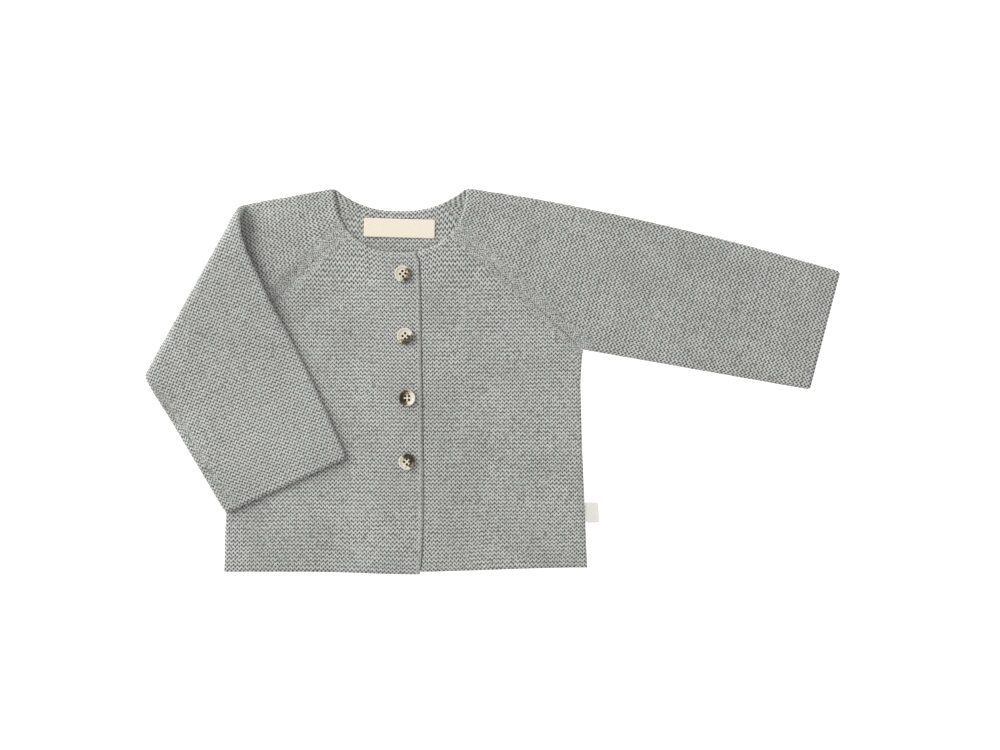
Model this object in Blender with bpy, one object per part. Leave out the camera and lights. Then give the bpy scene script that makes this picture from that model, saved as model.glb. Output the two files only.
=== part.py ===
"""Baby cardigan knitted in garter stitch, laid flat on its back.

The body is a back and two overlapping fronts. The wearer's left sleeve lies out to the side. The
right one is folded once over the front. Each knitted piece is a soft wall of the cloth's real
thickness, and each sleeve is one flattened tube, open at the cuff and at the armhole.
Lengths are in millimetres. X runs from the centre front to the wearer's left, Y up from the hem
and Z up from the table. The finished cardigan is moved to stand on its own bottom centre.
"""

import math
from collections import namedtuple

import bmesh
import bpy
from mathutils import Vector

MM = 0.001

Place = namedtuple("Place", "x y")
BodySection = namedtuple("BodySection", "height right left")
Swell = namedtuple("Swell", "x y turn length width height")
TurnedPoint = namedtuple("TurnedPoint", "radius height")

# ---- cloth -----------------------------------------------------------------------------------
WALL = 2.2  # one knitted layer
GAP = 0.3  # clearance where two pieces touch
HALF = WALL + GAP / 2  # height of the middle of two layers
TWO_LAYERS = 2 * HALF
SELVEDGE_WIDTH = 0.8  # strip in which a free edge thins
SELVEDGE_DROP = 0.7
SEAM_EDGE = 0.4  # least thickness left at a rounded side seam

# ---- body ------------------------------------------------------------------------------------
BODY_SECTIONS = (
    BodySection(height=0.0, right=-133.1, left=135.9),
    BodySection(height=40.0, right=-133.1, left=134.4),
    BodySection(height=90.0, right=-133.4, left=132.2),
    BodySection(height=140.0, right=-134.2, left=130.8),
    BodySection(height=164.5, right=-134.8, left=132.4),
)
UNDERARM_HEIGHT = BODY_SECTIONS[-1].height
HEM_START = -0.6  # the hem's lowest stitches, at the wearer's right side
HEM_DIP = -1.8  # the right front hangs this much lower at the centre ...
HEM_DIP_REACH = 90.0  # ... coming down over this width
HEM_LIFT_LEFT = 3.6  # the hem rises this much toward the wearer's left side
HEM_SHAPING_TOP = 60.0  # up to this height the rows follow the hem
BACK_RAGLAN_TOP = {"right": Place(-34.3, 274.0), "left": Place(30.5, 274.0)}
FRONT_RAGLAN_TOP = {"right": Place(-43.2, 254.6), "left": Place(38.7, 254.6)}

NECK_CENTRE = -2.3
NECK_HALF_WIDTH = 50.3
NECK_TOP = 285.0  # height of the shoulder points
FRONT_NECK_DEPTH = 48.0
FRONT_NECK_POWER = 2.2
BACK_NECK_DEPTH = 16.8
BACK_NECK_POWER = 2.4
NECK_SHAPING_FRONT = 215.0  # above this height the rows bend to the neck
NECK_SHAPING_BACK = 245.0

OVERLAP_EDGE = 13.0  # edge of the right front, on top
OVERLAP_CORNER = 2.6  # the edge draws in this much at the neck
OVERLAP_CORNER_START = 238.0  # from this row up
UNDERLAP_EDGE = -12.7  # edge of the left front, under it
OVERLAP_RAMP_START = -27.0  # the right front climbs over the left one from here ...
OVERLAP_RAMP_END = -14.0  # ... to here
OVERLAP_COLUMNS = (OVERLAP_RAMP_START, -22.0, -18.0, OVERLAP_RAMP_END, -6.0, 2.0, 8.0)
UNDERLAP_COLUMNS = (UNDERLAP_EDGE, -11.9, 0.0, 14.0)

# ---- sleeves ---------------------------------------------------------------------------------
LEFT_CUFF = {"top": Place(324.8, 223.0), "under": Place(302.0, 134.9)}
SLEEVE_TOP_BULGE = 5.4  # how far the top fold stands out of a straight line
NECK_SHARE = 0.18  # share of the sleeve's width that runs along the neck
UNDERARM_TURN_SHARE = 0.2  # share of the sleeve in which its edge turns from the raglan's slope

FOLD_TURN = math.radians(60.0)  # the fold line's slope
FOLD_EDGE = 241.6  # distance of the folded edge from the origin, square to the fold
FOLD_CLEAR = 2.3  # hollow inside the fold
FOLD_TOP_ALONG = 179.3  # where the sleeve's top edge meets the bend, up the fold line
FOLD_UNDER_ALONG = 34.0  # where its underarm edge does
FOLD_SLIP_TOP = 9.5  # how far each edge runs down the fold while it turns
FOLD_SLIP_UNDER = 8.0
RIGHT_CUFF = {"top": Place(-41.3, 84.4), "under": Place(-132.6, 43.4)}
FOLDED_EDGE_BOW = 12.5  # the free edge draws back toward the fold
FOLDED_EDGE_LIFT = 3.6  # and stands up beside the shoulder
FOLD_SETTLE = 0.25  # share of the folded length in which the bend's height settles
SAG_REACH = 25.0  # distance in which unsupported cloth comes down to the table

# ---- lay of the cloth ------------------------------------------------------------------------
SWELLS = (
    Swell(x=92.0, y=138.0, turn=42.0, length=52.0, width=17.0, height=1.2),
    Swell(x=62.0, y=36.0, turn=4.0, length=60.0, width=15.0, height=0.9),
    Swell(x=-66.0, y=34.0, turn=-4.0, length=48.0, width=13.0, height=0.8),
    Swell(x=-78.0, y=214.0, turn=-38.0, length=34.0, width=13.0, height=0.8),
    Swell(x=70.0, y=214.0, turn=36.0, length=32.0, width=12.0, height=0.7),
    Swell(x=158.0, y=226.0, turn=-14.0, length=58.0, width=17.0, height=1.2),
    Swell(x=182.0, y=180.0, turn=-10.0, length=40.0, width=12.0, height=0.9),
    Swell(x=262.0, y=192.0, turn=74.0, length=24.0, width=13.0, height=0.8),
)

# ---- trimmings -------------------------------------------------------------------------------
BUTTON_PLACES = (Place(0.4, 222.0), Place(2.2, 175.2), Place(2.2, 129.0), Place(3.0, 82.0))
BUTTON_RADIUS = 6.25
BUTTON_THICKNESS = 2.9
BUTTON_SECTION = (
    TurnedPoint(radius=0.0, height=0.0),
    TurnedPoint(radius=4.65, height=0.0),
    TurnedPoint(radius=5.95, height=0.9),
    TurnedPoint(radius=BUTTON_RADIUS, height=1.7),
    TurnedPoint(radius=5.9, height=2.65),
    TurnedPoint(radius=5.35, height=BUTTON_THICKNESS),
    TurnedPoint(radius=4.75, height=2.45),
    TurnedPoint(radius=3.85, height=2.35),
    TurnedPoint(radius=0.0, height=2.35),
)
BUTTON_SIDES = 28
HOLE_RADIUS = 0.75
HOLE_SIDES = 8
HOLE_SPACING = 1.75  # from the button's centre to each hole
HOLE_TURN = 14.0  # each button is sewn on at another turn, in degrees

LABEL_CENTRE = Place(-3.0, 255.1)
LABEL_SIZE = (53.0, 14.0)
LABEL_THICKNESS = 0.6
LABEL_CORNER = 0.8
LABEL_CURL = 0.35  # its upper corners stand off the back

TAG_HEIGHT = 43.0  # its middle, above the hem
TAG_SIZE = (11.2, 16.2)
TAG_THICKNESS = 0.8
TAG_CORNER = 1.6
TAG_DROOP = 1.5

# ---- colours, linear -------------------------------------------------------------------------
YARN_COLOUR = (0.37, 0.38, 0.355)
HORN_COLOUR = (0.36, 0.27, 0.16)
RIBBON_COLOUR = (0.87, 0.80, 0.66)


# ---- small helpers ---------------------------------------------------------------------------
def mix(start, end, share):
    return start + (end - start) * share


def mix_places(start, end, share):
    return Place(mix(start.x, end.x, share), mix(start.y, end.y, share))


def moved(place, direction, distance):
    return Place(place.x + direction.x * distance, place.y + direction.y * distance)


def unit(x, y):
    length = math.hypot(x, y)
    return Place(x / length, y / length)


def ease(share):
    """0 below 0, 1 above 1 and a smooth climb between."""
    held = min(max(share, 0.0), 1.0)
    return held * held * (3.0 - 2.0 * held)


def steps(start, end, count):
    """count + 1 numbers from start to end."""
    return [mix(start, end, index / count) for index in range(count + 1)]


# ---- lay of the cloth ------------------------------------------------------------------------
def swell(x, y):
    """How far the upper layers stand off the back in their soft swells."""
    total = 0.0
    for row in SWELLS:
        turn = math.radians(row.turn)
        along = (x - row.x) * math.cos(turn) + (y - row.y) * math.sin(turn)
        across = (y - row.y) * math.cos(turn) - (x - row.x) * math.sin(turn)
        total += row.height * math.exp(-((along / row.length) ** 2) - (across / row.width) ** 2)
    return total


def side_edge(side, height):
    """X of the body's side seam at a height."""
    for below, above in zip(BODY_SECTIONS, BODY_SECTIONS[1:]):
        if height <= above.height:
            share = (height - below.height) / (above.height - below.height)
            return mix(getattr(below, side), getattr(above, side), share)
    return getattr(BODY_SECTIONS[-1], side)


def panel_edge(side, height, raglan_top):
    """X of a panel's outer edge: the side seam, then the raglan line."""
    seam = side_edge(side, height)
    if height <= UNDERARM_HEIGHT:
        return seam
    share = (height - UNDERARM_HEIGHT) / (raglan_top.y - UNDERARM_HEIGHT)
    clearance = 1.5 * GAP if side == "right" else -1.5 * GAP
    return mix(seam, raglan_top.x, share) + clearance


def front_neck_height(x):
    across = min(abs(x - NECK_CENTRE) / NECK_HALF_WIDTH, 1.0)
    depth = (1.0 - across**FRONT_NECK_POWER) ** (1.0 / FRONT_NECK_POWER)
    return NECK_TOP - FRONT_NECK_DEPTH * depth


def back_neck_height(x):
    across = min(abs(x - NECK_CENTRE) / NECK_HALF_WIDTH, 1.0)
    return NECK_TOP - BACK_NECK_DEPTH * (1.0 - across**BACK_NECK_POWER)


def hem_height(x, side):
    """Y of the hem, which rises a little to the wearer's left and dips at the right front's edge."""
    if side == "left":
        return HEM_START + HEM_LIFT_LEFT * ease(x / BODY_SECTIONS[0].left)
    return HEM_START + HEM_DIP * ease(1.0 + (x - OVERLAP_EDGE) / HEM_DIP_REACH)


def edge_thinning(distance):
    """How much thinner the wall is at this distance from a free edge."""
    return SELVEDGE_DROP * (1.0 - min(distance / SELVEDGE_WIDTH, 1.0))


def side_rounding(distance):
    """How far a wall's outer face turns in toward the side seam."""
    if distance >= HALF:
        return 0.0
    turned = HALF - math.sqrt(HALF**2 - (HALF - distance) ** 2)
    return min(turned, WALL - SEAM_EDGE)


# ---- meshes ----------------------------------------------------------------------------------
def cloth_material(name, colour, roughness):
    material = bpy.data.materials.new(name)
    material.use_nodes = True
    shader = material.node_tree.nodes["Principled BSDF"]
    shader.inputs["Base Color"].default_value = (*colour, 1.0)
    shader.inputs["Roughness"].default_value = roughness
    shader.inputs["Metallic"].default_value = 0.0
    return material


def finished_object(name, mesh_builder, material, smooth_angle):
    mesh = bpy.data.meshes.new(name)
    bmesh.ops.recalc_face_normals(mesh_builder, faces=mesh_builder.faces[:])
    mesh_builder.to_mesh(mesh)
    mesh_builder.free()
    mesh.shade_smooth()
    mesh.set_sharp_from_angle(angle=math.radians(smooth_angle))
    mesh.materials.append(material)
    made = bpy.data.objects.new(name, mesh)
    bpy.context.scene.collection.objects.link(made)
    return made


def point(builder, x, y, z):
    return builder.verts.new((x * MM, y * MM, z * MM))


def wall_from_grid(name, grid, material):
    """A closed wall. Each grid place is (x, y, lower z, upper z)."""
    builder = bmesh.new()
    lower = [[point(builder, x, y, low) for x, y, low, high in row] for row in grid]
    upper = [[point(builder, x, y, high) for x, y, low, high in row] for row in grid]
    last_row = len(grid) - 1
    last = len(grid[0]) - 1
    for row in range(last_row):
        for column in range(last):
            ends = ((row, column), (row, column + 1), (row + 1, column + 1), (row + 1, column))
            builder.faces.new([upper[r][c] for r, c in ends])
            builder.faces.new([lower[r][c] for r, c in reversed(ends)])
    border = [(0, c) for c in range(last)]
    border += [(r, last) for r in range(last_row)]
    border += [(last_row, c) for c in range(last, 0, -1)]
    border += [(r, 0) for r in range(last_row, 0, -1)]
    for here, there in zip(border, border[1:] + border[:1]):
        corners = (lower[here[0]][here[1]], lower[there[0]][there[1]])
        corners += (upper[there[0]][there[1]], upper[here[0]][here[1]])
        builder.faces.new(corners)
    return finished_object(name, builder, material, 50.0)


def tube_from_rings(name, outer, inner, material):
    """A closed wall between two nested tubes, each a list of rings of points."""
    builder = bmesh.new()
    skins = [[[point(builder, *place) for place in ring] for ring in skin] for skin in (outer, inner)]
    around = len(outer[0])
    for skin in skins:
        for ring, following in zip(skin, skin[1:]):
            for index in range(around):
                after = (index + 1) % around
                builder.faces.new((ring[index], ring[after], following[after], following[index]))
    for end in (0, -1):
        for index in range(around):
            after = (index + 1) % around
            rim = (skins[0][end][index], skins[0][end][after])
            builder.faces.new(rim + (skins[1][end][after], skins[1][end][index]))
    return finished_object(name, builder, material, 50.0)


# ---- body panels -----------------------------------------------------------------------------
ROW_HEIGHTS_TO_UNDERARM = (0.0, 0.8, 12.0, 26.0, 40.0, 58.0, 76.0, 94.0, 112.0, 128.0, 142.0, 154.0)
ROWS_IN_RAGLAN = 8
ROUND_COLUMNS = (0.0, 0.35, 1.0, HALF)  # distances from a side seam
SEAM_FADE = 12.0  # the side's roundness fades out this far below the underarm
SEAM_CALM = 12.0  # swells begin this far from a seam


def row_heights(top):
    """Heights of a panel's rows at its outer edge, with one last narrow row at the neck."""
    raglan = steps(UNDERARM_HEIGHT, top - SELVEDGE_WIDTH, ROWS_IN_RAGLAN)
    return list(ROW_HEIGHTS_TO_UNDERARM) + raglan + [top]


def roundness(height):
    """1 along the side seam, 0 along the raglan."""
    return 1.0 - ease((height - (UNDERARM_HEIGHT - SEAM_FADE)) / SEAM_FADE)


def shaped_height(x, height, top, shaping_start, neck_height, hem):
    """Y of a row at x: it follows the hem at the bottom and the neck at the top."""
    neck_share = ease((height - shaping_start) / (top - shaping_start))
    hem_share = 1.0 - ease(height / HEM_SHAPING_TOP)
    neck_drop = max(top - neck_height(x), 0.0)
    return height - neck_drop * neck_share + hem(x) * hem_share


def back_panel(material):
    grid = []
    top = BACK_RAGLAN_TOP["right"].y
    for height in row_heights(top):
        right = panel_edge("right", height, BACK_RAGLAN_TOP["right"])
        left = panel_edge("left", height, BACK_RAGLAN_TOP["left"])
        xs = [right + distance for distance in ROUND_COLUMNS]
        xs += steps(right + HALF, left - HALF, 12)[1:-1]
        xs += [left - distance for distance in reversed(ROUND_COLUMNS)]
        row = []
        for x in xs:
            y = shaped_height(
                x, height, top, NECK_SHAPING_BACK, back_neck_height, lambda at: hem_height(at, "left")
            )
            turned = side_rounding(min(x - right, left - x)) * roundness(height)
            thinned = edge_thinning(min(height, top - height))
            row.append((x, y, turned, WALL - thinned))
        grid.append(row)
    return wall_from_grid("back", grid, material)


def right_front_base(x):
    """Underside of the right front, which climbs over the left one at the centre."""
    climb = ease((x - OVERLAP_RAMP_START) / (OVERLAP_RAMP_END - OVERLAP_RAMP_START))
    return WALL + GAP + (WALL + GAP) * climb


def front_panel(name, side, xs_of_row, base, material):
    grid = []
    top = FRONT_RAGLAN_TOP[side].y
    for height in row_heights(top):
        seam = panel_edge(side, height, FRONT_RAGLAN_TOP[side])
        xs = xs_of_row(seam, height)
        free_edge = xs[-1] if side == "right" else xs[0]
        row = []
        for x in xs:
            y = shaped_height(
                x, height, top, NECK_SHAPING_FRONT, front_neck_height, lambda at: hem_height(at, side)
            )
            from_seam = abs(x - seam)
            turned = side_rounding(from_seam) * roundness(height)
            thinned = edge_thinning(min(height, top - height, abs(x - free_edge)))
            low = base(x) + swell(x, y) * ease(from_seam / SEAM_CALM)
            row.append((x, y, low, low + WALL - max(turned, thinned)))
        grid.append(row)
    return wall_from_grid(name, grid, material)


def right_front(material):
    corner_rows = FRONT_RAGLAN_TOP["right"].y - OVERLAP_CORNER_START

    def xs_of_row(seam, height):
        outer = [seam + distance for distance in ROUND_COLUMNS]
        edge = OVERLAP_EDGE - OVERLAP_CORNER * ease((height - OVERLAP_CORNER_START) / corner_rows)
        flat = steps(seam + HALF, OVERLAP_RAMP_START, 7)[1:-1]
        return outer + flat + list(OVERLAP_COLUMNS) + [edge - SELVEDGE_WIDTH, edge]

    return front_panel("front_right", "right", xs_of_row, right_front_base, material)


def left_front(material):
    def xs_of_row(seam, height):
        outer = [seam - distance for distance in reversed(ROUND_COLUMNS)]
        return list(UNDERLAP_COLUMNS) + steps(UNDERLAP_COLUMNS[-1], seam - HALF, 8)[1:-1] + outer

    def base(x):
        return WALL + GAP

    return front_panel("front_left", "left", xs_of_row, base, material)


# ---- sleeves ---------------------------------------------------------------------------------
# A flattened tube is drawn round its core: lines of places across the sleeve, from its top fold to
# its underarm edge, one for the front half and one for the back half. The core stops short of each
# long edge by the height of the tube's middle, and the cloth turns round it there.
NECK_STEPS = 4
RAGLAN_STEPS = 8
TURN_STEPS = 4  # round each long edge of the flattened tube
SHARES_ACROSS = steps(0.0, NECK_SHARE, NECK_STEPS) + steps(NECK_SHARE, 1.0, RAGLAN_STEPS)[1:]


def mirrored_sign(side):
    return 1.0 if side == "left" else -1.0


def shoulder_point(side):
    return Place(NECK_CENTRE + mirrored_sign(side) * NECK_HALF_WIDTH, NECK_TOP)


def underarm_point(side):
    beside_body = side_edge(side, UNDERARM_HEIGHT) + mirrored_sign(side) * GAP
    return Place(beside_body, UNDERARM_HEIGHT + GAP)


def raglan_down(side):
    top = FRONT_RAGLAN_TOP[side]
    underarm = underarm_point(side)
    return unit(underarm.x - top.x, underarm.y - top.y)


def armhole_path(side, raglan_top, neck_height, outward_top):
    """Core from the shoulder point along the neck to the raglan, and down it to the underarm."""
    start = shoulder_point(side)
    neck = [moved(start, outward_top, -HALF)]
    for share in steps(0.0, 1.0, NECK_STEPS)[1:]:
        x = mix(start.x, raglan_top.x, share**1.6)
        neck.append(Place(x, neck_height(x)))
    end = moved(underarm_point(side), raglan_down(side), -HALF)
    return neck + [mix_places(raglan_top, end, share) for share in steps(0.0, 1.0, RAGLAN_STEPS)[1:]]


def line_across(top, under):
    """Core of a straight line across the sleeve."""
    downward = unit(under.x - top.x, under.y - top.y)
    start = moved(top, downward, HALF)
    end = moved(under, downward, -HALF)
    return [mix_places(start, end, share) for share in SHARES_ACROSS]


def outward_of(start, end, side):
    """Direction square to a long edge, away from the sleeve: on the left of the run, or the right."""
    run = unit(end.x - start.x, end.y - start.y)
    return Place(-run.y, run.x) if side == "left" else Place(run.y, -run.x)


def between(first, second, share, bulge, bulge_direction):
    """Places across a sleeve between two others, pushed out toward its top edge by a bulge."""
    places = []
    for start, end, across in zip(first, second, SHARES_ACROSS):
        place = mix_places(start, end, share)
        places.append(moved(place, bulge_direction, bulge * (1.0 - across)))
    return places


def mixed_direction(start, end, share):
    return unit(mix(start.x, end.x, share), mix(start.y, end.y, share))


def flat_ring(front, back, outward_top, outward_under, radius):
    """One ring of a flattened tube, as (place, height over the table, share across)."""
    last = len(front) - 1
    ring = [(front[i], HALF + radius, SHARES_ACROSS[i]) for i in range(last + 1)]
    for angle in steps(math.pi / 2, -math.pi / 2, TURN_STEPS)[1:-1]:
        place = moved(front[-1], outward_under, radius * math.cos(angle))
        ring.append((place, HALF + radius * math.sin(angle), 1.0))
    ring += [(back[i], HALF - radius, SHARES_ACROSS[i]) for i in range(last, -1, -1)]
    for angle in steps(-math.pi / 2, math.pi / 2, TURN_STEPS)[1:-1]:
        place = moved(front[0], outward_top, radius * math.cos(angle))
        ring.append((place, HALF + radius * math.sin(angle), 0.0))
    return ring


def swollen_ring(ring):
    """Adds the cloth's swells to the upper half of a ring that lies flat."""
    raised = []
    for place, height, across in ring:
        inside = ease(min(across, 1.0 - across) / 0.2) if height > HALF else 0.0
        raised.append((place.x, place.y, height + swell(place.x, place.y) * inside))
    return raised


def bulge_share(along):
    """0 at both ends, 1 nearer the shoulder than the cuff."""
    skewed = along**0.9
    return 4.0 * skewed * (1.0 - skewed)


def left_sleeve(material):
    outward_top = outward_of(shoulder_point("left"), LEFT_CUFF["top"], "left")
    outward_under = outward_of(underarm_point("left"), LEFT_CUFF["under"], "right")
    front = armhole_path("left", FRONT_RAGLAN_TOP["left"], front_neck_height, outward_top)
    back = armhole_path("left", BACK_RAGLAN_TOP["left"], back_neck_height, outward_top)
    cuff = line_across(LEFT_CUFF["top"], LEFT_CUFF["under"])
    skins = []
    for radius in (HALF, GAP / 2):
        rings = []
        for along in steps(0.0, 1.0, 16):
            bulge = SLEEVE_TOP_BULGE * bulge_share(along)
            upper = between(front, cuff, along, bulge, outward_top)
            lower = between(back, cuff, along, bulge, outward_top)
            turned = ease(along / UNDERARM_TURN_SHARE)
            under_out = mixed_direction(raglan_down("left"), outward_under, turned)
            rings.append(swollen_ring(flat_ring(upper, lower, outward_top, under_out, radius)))
        skins.append(rings)
    return tube_from_rings("sleeve_left", *skins, material)


# The fold: down is along the fold line toward the hem, out is square to it, away from the body.
FOLD_DOWN = Place(-math.cos(FOLD_TURN), -math.sin(FOLD_TURN))
FOLD_UP = Place(math.cos(FOLD_TURN), math.sin(FOLD_TURN))
FOLD_OUT = Place(-math.sin(FOLD_TURN), math.cos(FOLD_TURN))
FOLD_RADIUS = TWO_LAYERS + FOLD_CLEAR / 2  # from the bend's centre to its outer face
FOLD_FOOT = moved(Place(0.0, 0.0), FOLD_OUT, FOLD_EDGE - FOLD_RADIUS)
FOLD_TOP = moved(FOLD_FOOT, FOLD_UP, FOLD_TOP_ALONG)
FOLD_UNDER = moved(FOLD_FOOT, FOLD_UP, FOLD_UNDER_ALONG)
FOLDED_REST = TWO_LAYERS + GAP  # underside of the folded part where it lies on two layers
BEND_STEPS = 8


def depth_off_support(place):
    """How far a place lies off the body and off the lower part of the sleeve."""
    off_body = side_edge("right", min(place.y, UNDERARM_HEIGHT)) - place.x
    underarm = underarm_point("right")
    edge = unit(FOLD_UNDER.x - underarm.x, FOLD_UNDER.y - underarm.y)
    off_sleeve = (place.x - underarm.x) * -edge.y + (place.y - underarm.y) * edge.x
    return max(min(off_body, off_sleeve), 0.0)


def folded_base(place, along, across):
    """Underside of the folded part of the right sleeve."""
    settling = (TWO_LAYERS + FOLD_CLEAR - FOLDED_REST) * (1.0 - ease(along / FOLD_SETTLE))
    sag = FOLDED_REST * ease(depth_off_support(place) / SAG_REACH) * ease(along / FOLD_SETTLE)
    lift = FOLDED_EDGE_LIFT * (1.0 - across) ** 2 * ease(along / 0.1) * (1.0 - ease((along - 0.1) / 0.4))
    return FOLDED_REST + settling - sag + lift + swell(place.x, place.y)


def bent_ring(ring, turn):
    """A ring partway round the fold, turn being 0 where it starts and pi where it lies back."""
    bent = []
    for place, height, _ in ring:
        radius = FOLD_RADIUS - height
        out = moved(place, FOLD_OUT, radius * math.sin(turn))
        bent.append((out.x, out.y, FOLD_RADIUS - radius * math.cos(turn)))
    return bent


def turned_over_ring(ring, along):
    """A ring of the part that lies back over the front, turned upside down."""
    placed = []
    for place, height, across in ring:
        base = folded_base(place, along, across)
        placed.append((place.x, place.y, base + TWO_LAYERS - height))
    return placed


def bow_share(along):
    """0 at both ends, 1 at a quarter of the way."""
    return along * (1.0 - along) ** 3 / (0.25 * 0.75**3)


def right_sleeve(material):
    top_end = moved(FOLD_TOP, FOLD_DOWN, FOLD_SLIP_TOP)
    under_end = moved(FOLD_UNDER, FOLD_DOWN, FOLD_SLIP_UNDER)
    outward_shoulder = outward_of(shoulder_point("right"), FOLD_TOP, "right")
    outward_underarm = outward_of(underarm_point("right"), FOLD_UNDER, "left")
    outward_free = outward_of(top_end, RIGHT_CUFF["top"], "left")
    outward_outer = outward_of(under_end, RIGHT_CUFF["under"], "right")
    front = armhole_path("right", FRONT_RAGLAN_TOP["right"], front_neck_height, outward_shoulder)
    back = armhole_path("right", BACK_RAGLAN_TOP["right"], back_neck_height, outward_shoulder)
    fold = line_across(FOLD_TOP, FOLD_UNDER)
    fold_end = line_across(top_end, under_end)
    cuff = line_across(RIGHT_CUFF["top"], RIGHT_CUFF["under"])
    skins = []
    for radius in (HALF, GAP / 2):
        rings = []
        for along in steps(0.0, 1.0, 7):
            upper = between(front, fold, along, 0.0, FOLD_UP)
            lower = between(back, fold, along, 0.0, FOLD_UP)
            top_out = mixed_direction(outward_shoulder, FOLD_UP, along)
            turned = ease(along / UNDERARM_TURN_SHARE)
            beside_raglan = mixed_direction(raglan_down("right"), outward_underarm, turned)
            under_out = mixed_direction(beside_raglan, FOLD_DOWN, along)
            rings.append(swollen_ring(flat_ring(upper, lower, top_out, under_out, radius)))
        for turn in steps(0.0, 1.0, BEND_STEPS)[1:]:
            places = between(fold, fold_end, turn, 0.0, FOLD_UP)
            rings.append(bent_ring(flat_ring(places, places, FOLD_UP, FOLD_DOWN, radius), math.pi * turn))
        for along in steps(0.0, 1.0, 14)[1:]:
            places = between(fold_end, cuff, along, -FOLDED_EDGE_BOW * bow_share(along), outward_free)
            settled = ease(along / FOLD_SETTLE)
            top_out = mixed_direction(FOLD_UP, outward_free, settled)
            under_out = mixed_direction(FOLD_DOWN, outward_outer, settled)
            ring = flat_ring(places, places, top_out, under_out, radius)
            rings.append(turned_over_ring(ring, along))
        skins.append(rings)
    return tube_from_rings("sleeve_right", *skins, material)


# ---- buttons ---------------------------------------------------------------------------------
def button_body(name, material):
    """A turned disc with a raised rim, spun from its section."""
    builder = bmesh.new()
    verts = [point(builder, radius, 0.0, height) for radius, height in BUTTON_SECTION]
    edges = [builder.edges.new(pair) for pair in zip(verts, verts[1:])]
    bmesh.ops.spin(
        builder,
        geom=verts + edges,
        cent=(0.0, 0.0, 0.0),
        axis=(0.0, 0.0, 1.0),
        angle=math.tau,
        steps=BUTTON_SIDES,
        use_merge=True,
    )
    bmesh.ops.remove_doubles(builder, verts=builder.verts[:], dist=0.01 * MM)
    return finished_object(name, builder, material, 40.0)


def hole_cutter(name, place):
    builder = bmesh.new()
    bmesh.ops.create_cone(
        builder,
        cap_ends=True,
        segments=HOLE_SIDES,
        radius1=HOLE_RADIUS * MM,
        radius2=HOLE_RADIUS * MM,
        depth=3.0 * BUTTON_THICKNESS * MM,
    )
    bmesh.ops.translate(builder, verts=builder.verts[:], vec=Vector((place.x * MM, place.y * MM, 0.0)))
    mesh = bpy.data.meshes.new(name)
    builder.to_mesh(mesh)
    builder.free()
    cutter = bpy.data.objects.new(name, mesh)
    cutter.hide_render = True
    cutter.display_type = "WIRE"
    bpy.context.scene.collection.objects.link(cutter)
    return cutter


def sewn_button(number, place, material):
    button = button_body(f"button_{number}", material)
    for index in range(4):
        turn = math.radians(90.0 * index + HOLE_TURN * number)
        at = Place(HOLE_SPACING * math.cos(turn), HOLE_SPACING * math.sin(turn))
        cutter = hole_cutter(f"button_{number}_hole_{index + 1}", at)
        cutter.parent = button
        cut = button.modifiers.new(f"hole {index + 1}", "BOOLEAN")
        cut.operation = "DIFFERENCE"
        cut.solver = "EXACT"
        cut.object = cutter
    cloth_top = right_front_base(place.x) + swell(place.x, place.y) + WALL
    button.location = (place.x * MM, place.y * MM, (cloth_top + GAP) * MM)
    return button


# ---- labels ----------------------------------------------------------------------------------
def rounded_rows(width, height, corner):
    """Rows of (x, y) for a rectangle with rounded corners, from its lower edge to its upper."""
    drops = (0.0, 0.3, 1.0)
    rows = []
    for share in drops:
        inset = corner * (1.0 - math.sqrt(1.0 - (1.0 - share) ** 2))
        rows.append((-height / 2 + corner * share, width / 2 - inset))
    rows += [(y, half) for y, half in [(-y, half) for y, half in reversed(rows)]]
    return rows


def ribbon(name, size, thickness, corner, base, material):
    """A thin woven label whose underside follows base(x, y), about its own centre."""
    width, height = size
    grid = []
    for y, half in rounded_rows(width, height, corner):
        row = []
        for x in steps(-half, half, 10):
            low = base(x, y)
            row.append((x, y, low, low + thickness))
        grid.append(row)
    return wall_from_grid(name, grid, material)


def neck_label(material):
    def base(x, y):
        return LABEL_CURL * (x / (LABEL_SIZE[0] / 2)) ** 2 * (0.5 + y / LABEL_SIZE[1])

    label = ribbon("neck_label", LABEL_SIZE, LABEL_THICKNESS, LABEL_CORNER, base, material)
    label.location = (LABEL_CENTRE.x * MM, LABEL_CENTRE.y * MM, (WALL + GAP) * MM)
    return label


def side_tag(material):
    def base(x, y):
        return -TAG_DROOP * ease(0.5 + x / TAG_SIZE[0])

    tag = ribbon("side_tag", TAG_SIZE, TAG_THICKNESS, TAG_CORNER, base, material)
    centre_x = side_edge("left", TAG_HEIGHT) + GAP + TAG_SIZE[0] / 2
    tag.location = (centre_x * MM, TAG_HEIGHT * MM, (HALF - TAG_THICKNESS / 2) * MM)
    return tag


# ---- the whole cardigan ----------------------------------------------------------------------
def stand_on_origin(pieces):
    """Hangs every piece under one empty that puts the bottom centre at the origin."""
    bpy.context.view_layer.update()
    corners = [piece.matrix_world @ Vector(corner) for piece in pieces for corner in piece.bound_box]
    low = Vector(min(corner[axis] for corner in corners) for axis in range(3))
    high = Vector(max(corner[axis] for corner in corners) for axis in range(3))
    cardigan = bpy.data.objects.new("cardigan", None)
    bpy.context.scene.collection.objects.link(cardigan)
    cardigan.location = (-(low.x + high.x) / 2, -(low.y + high.y) / 2, -low.z)
    for piece in pieces:
        piece.parent = cardigan


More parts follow.
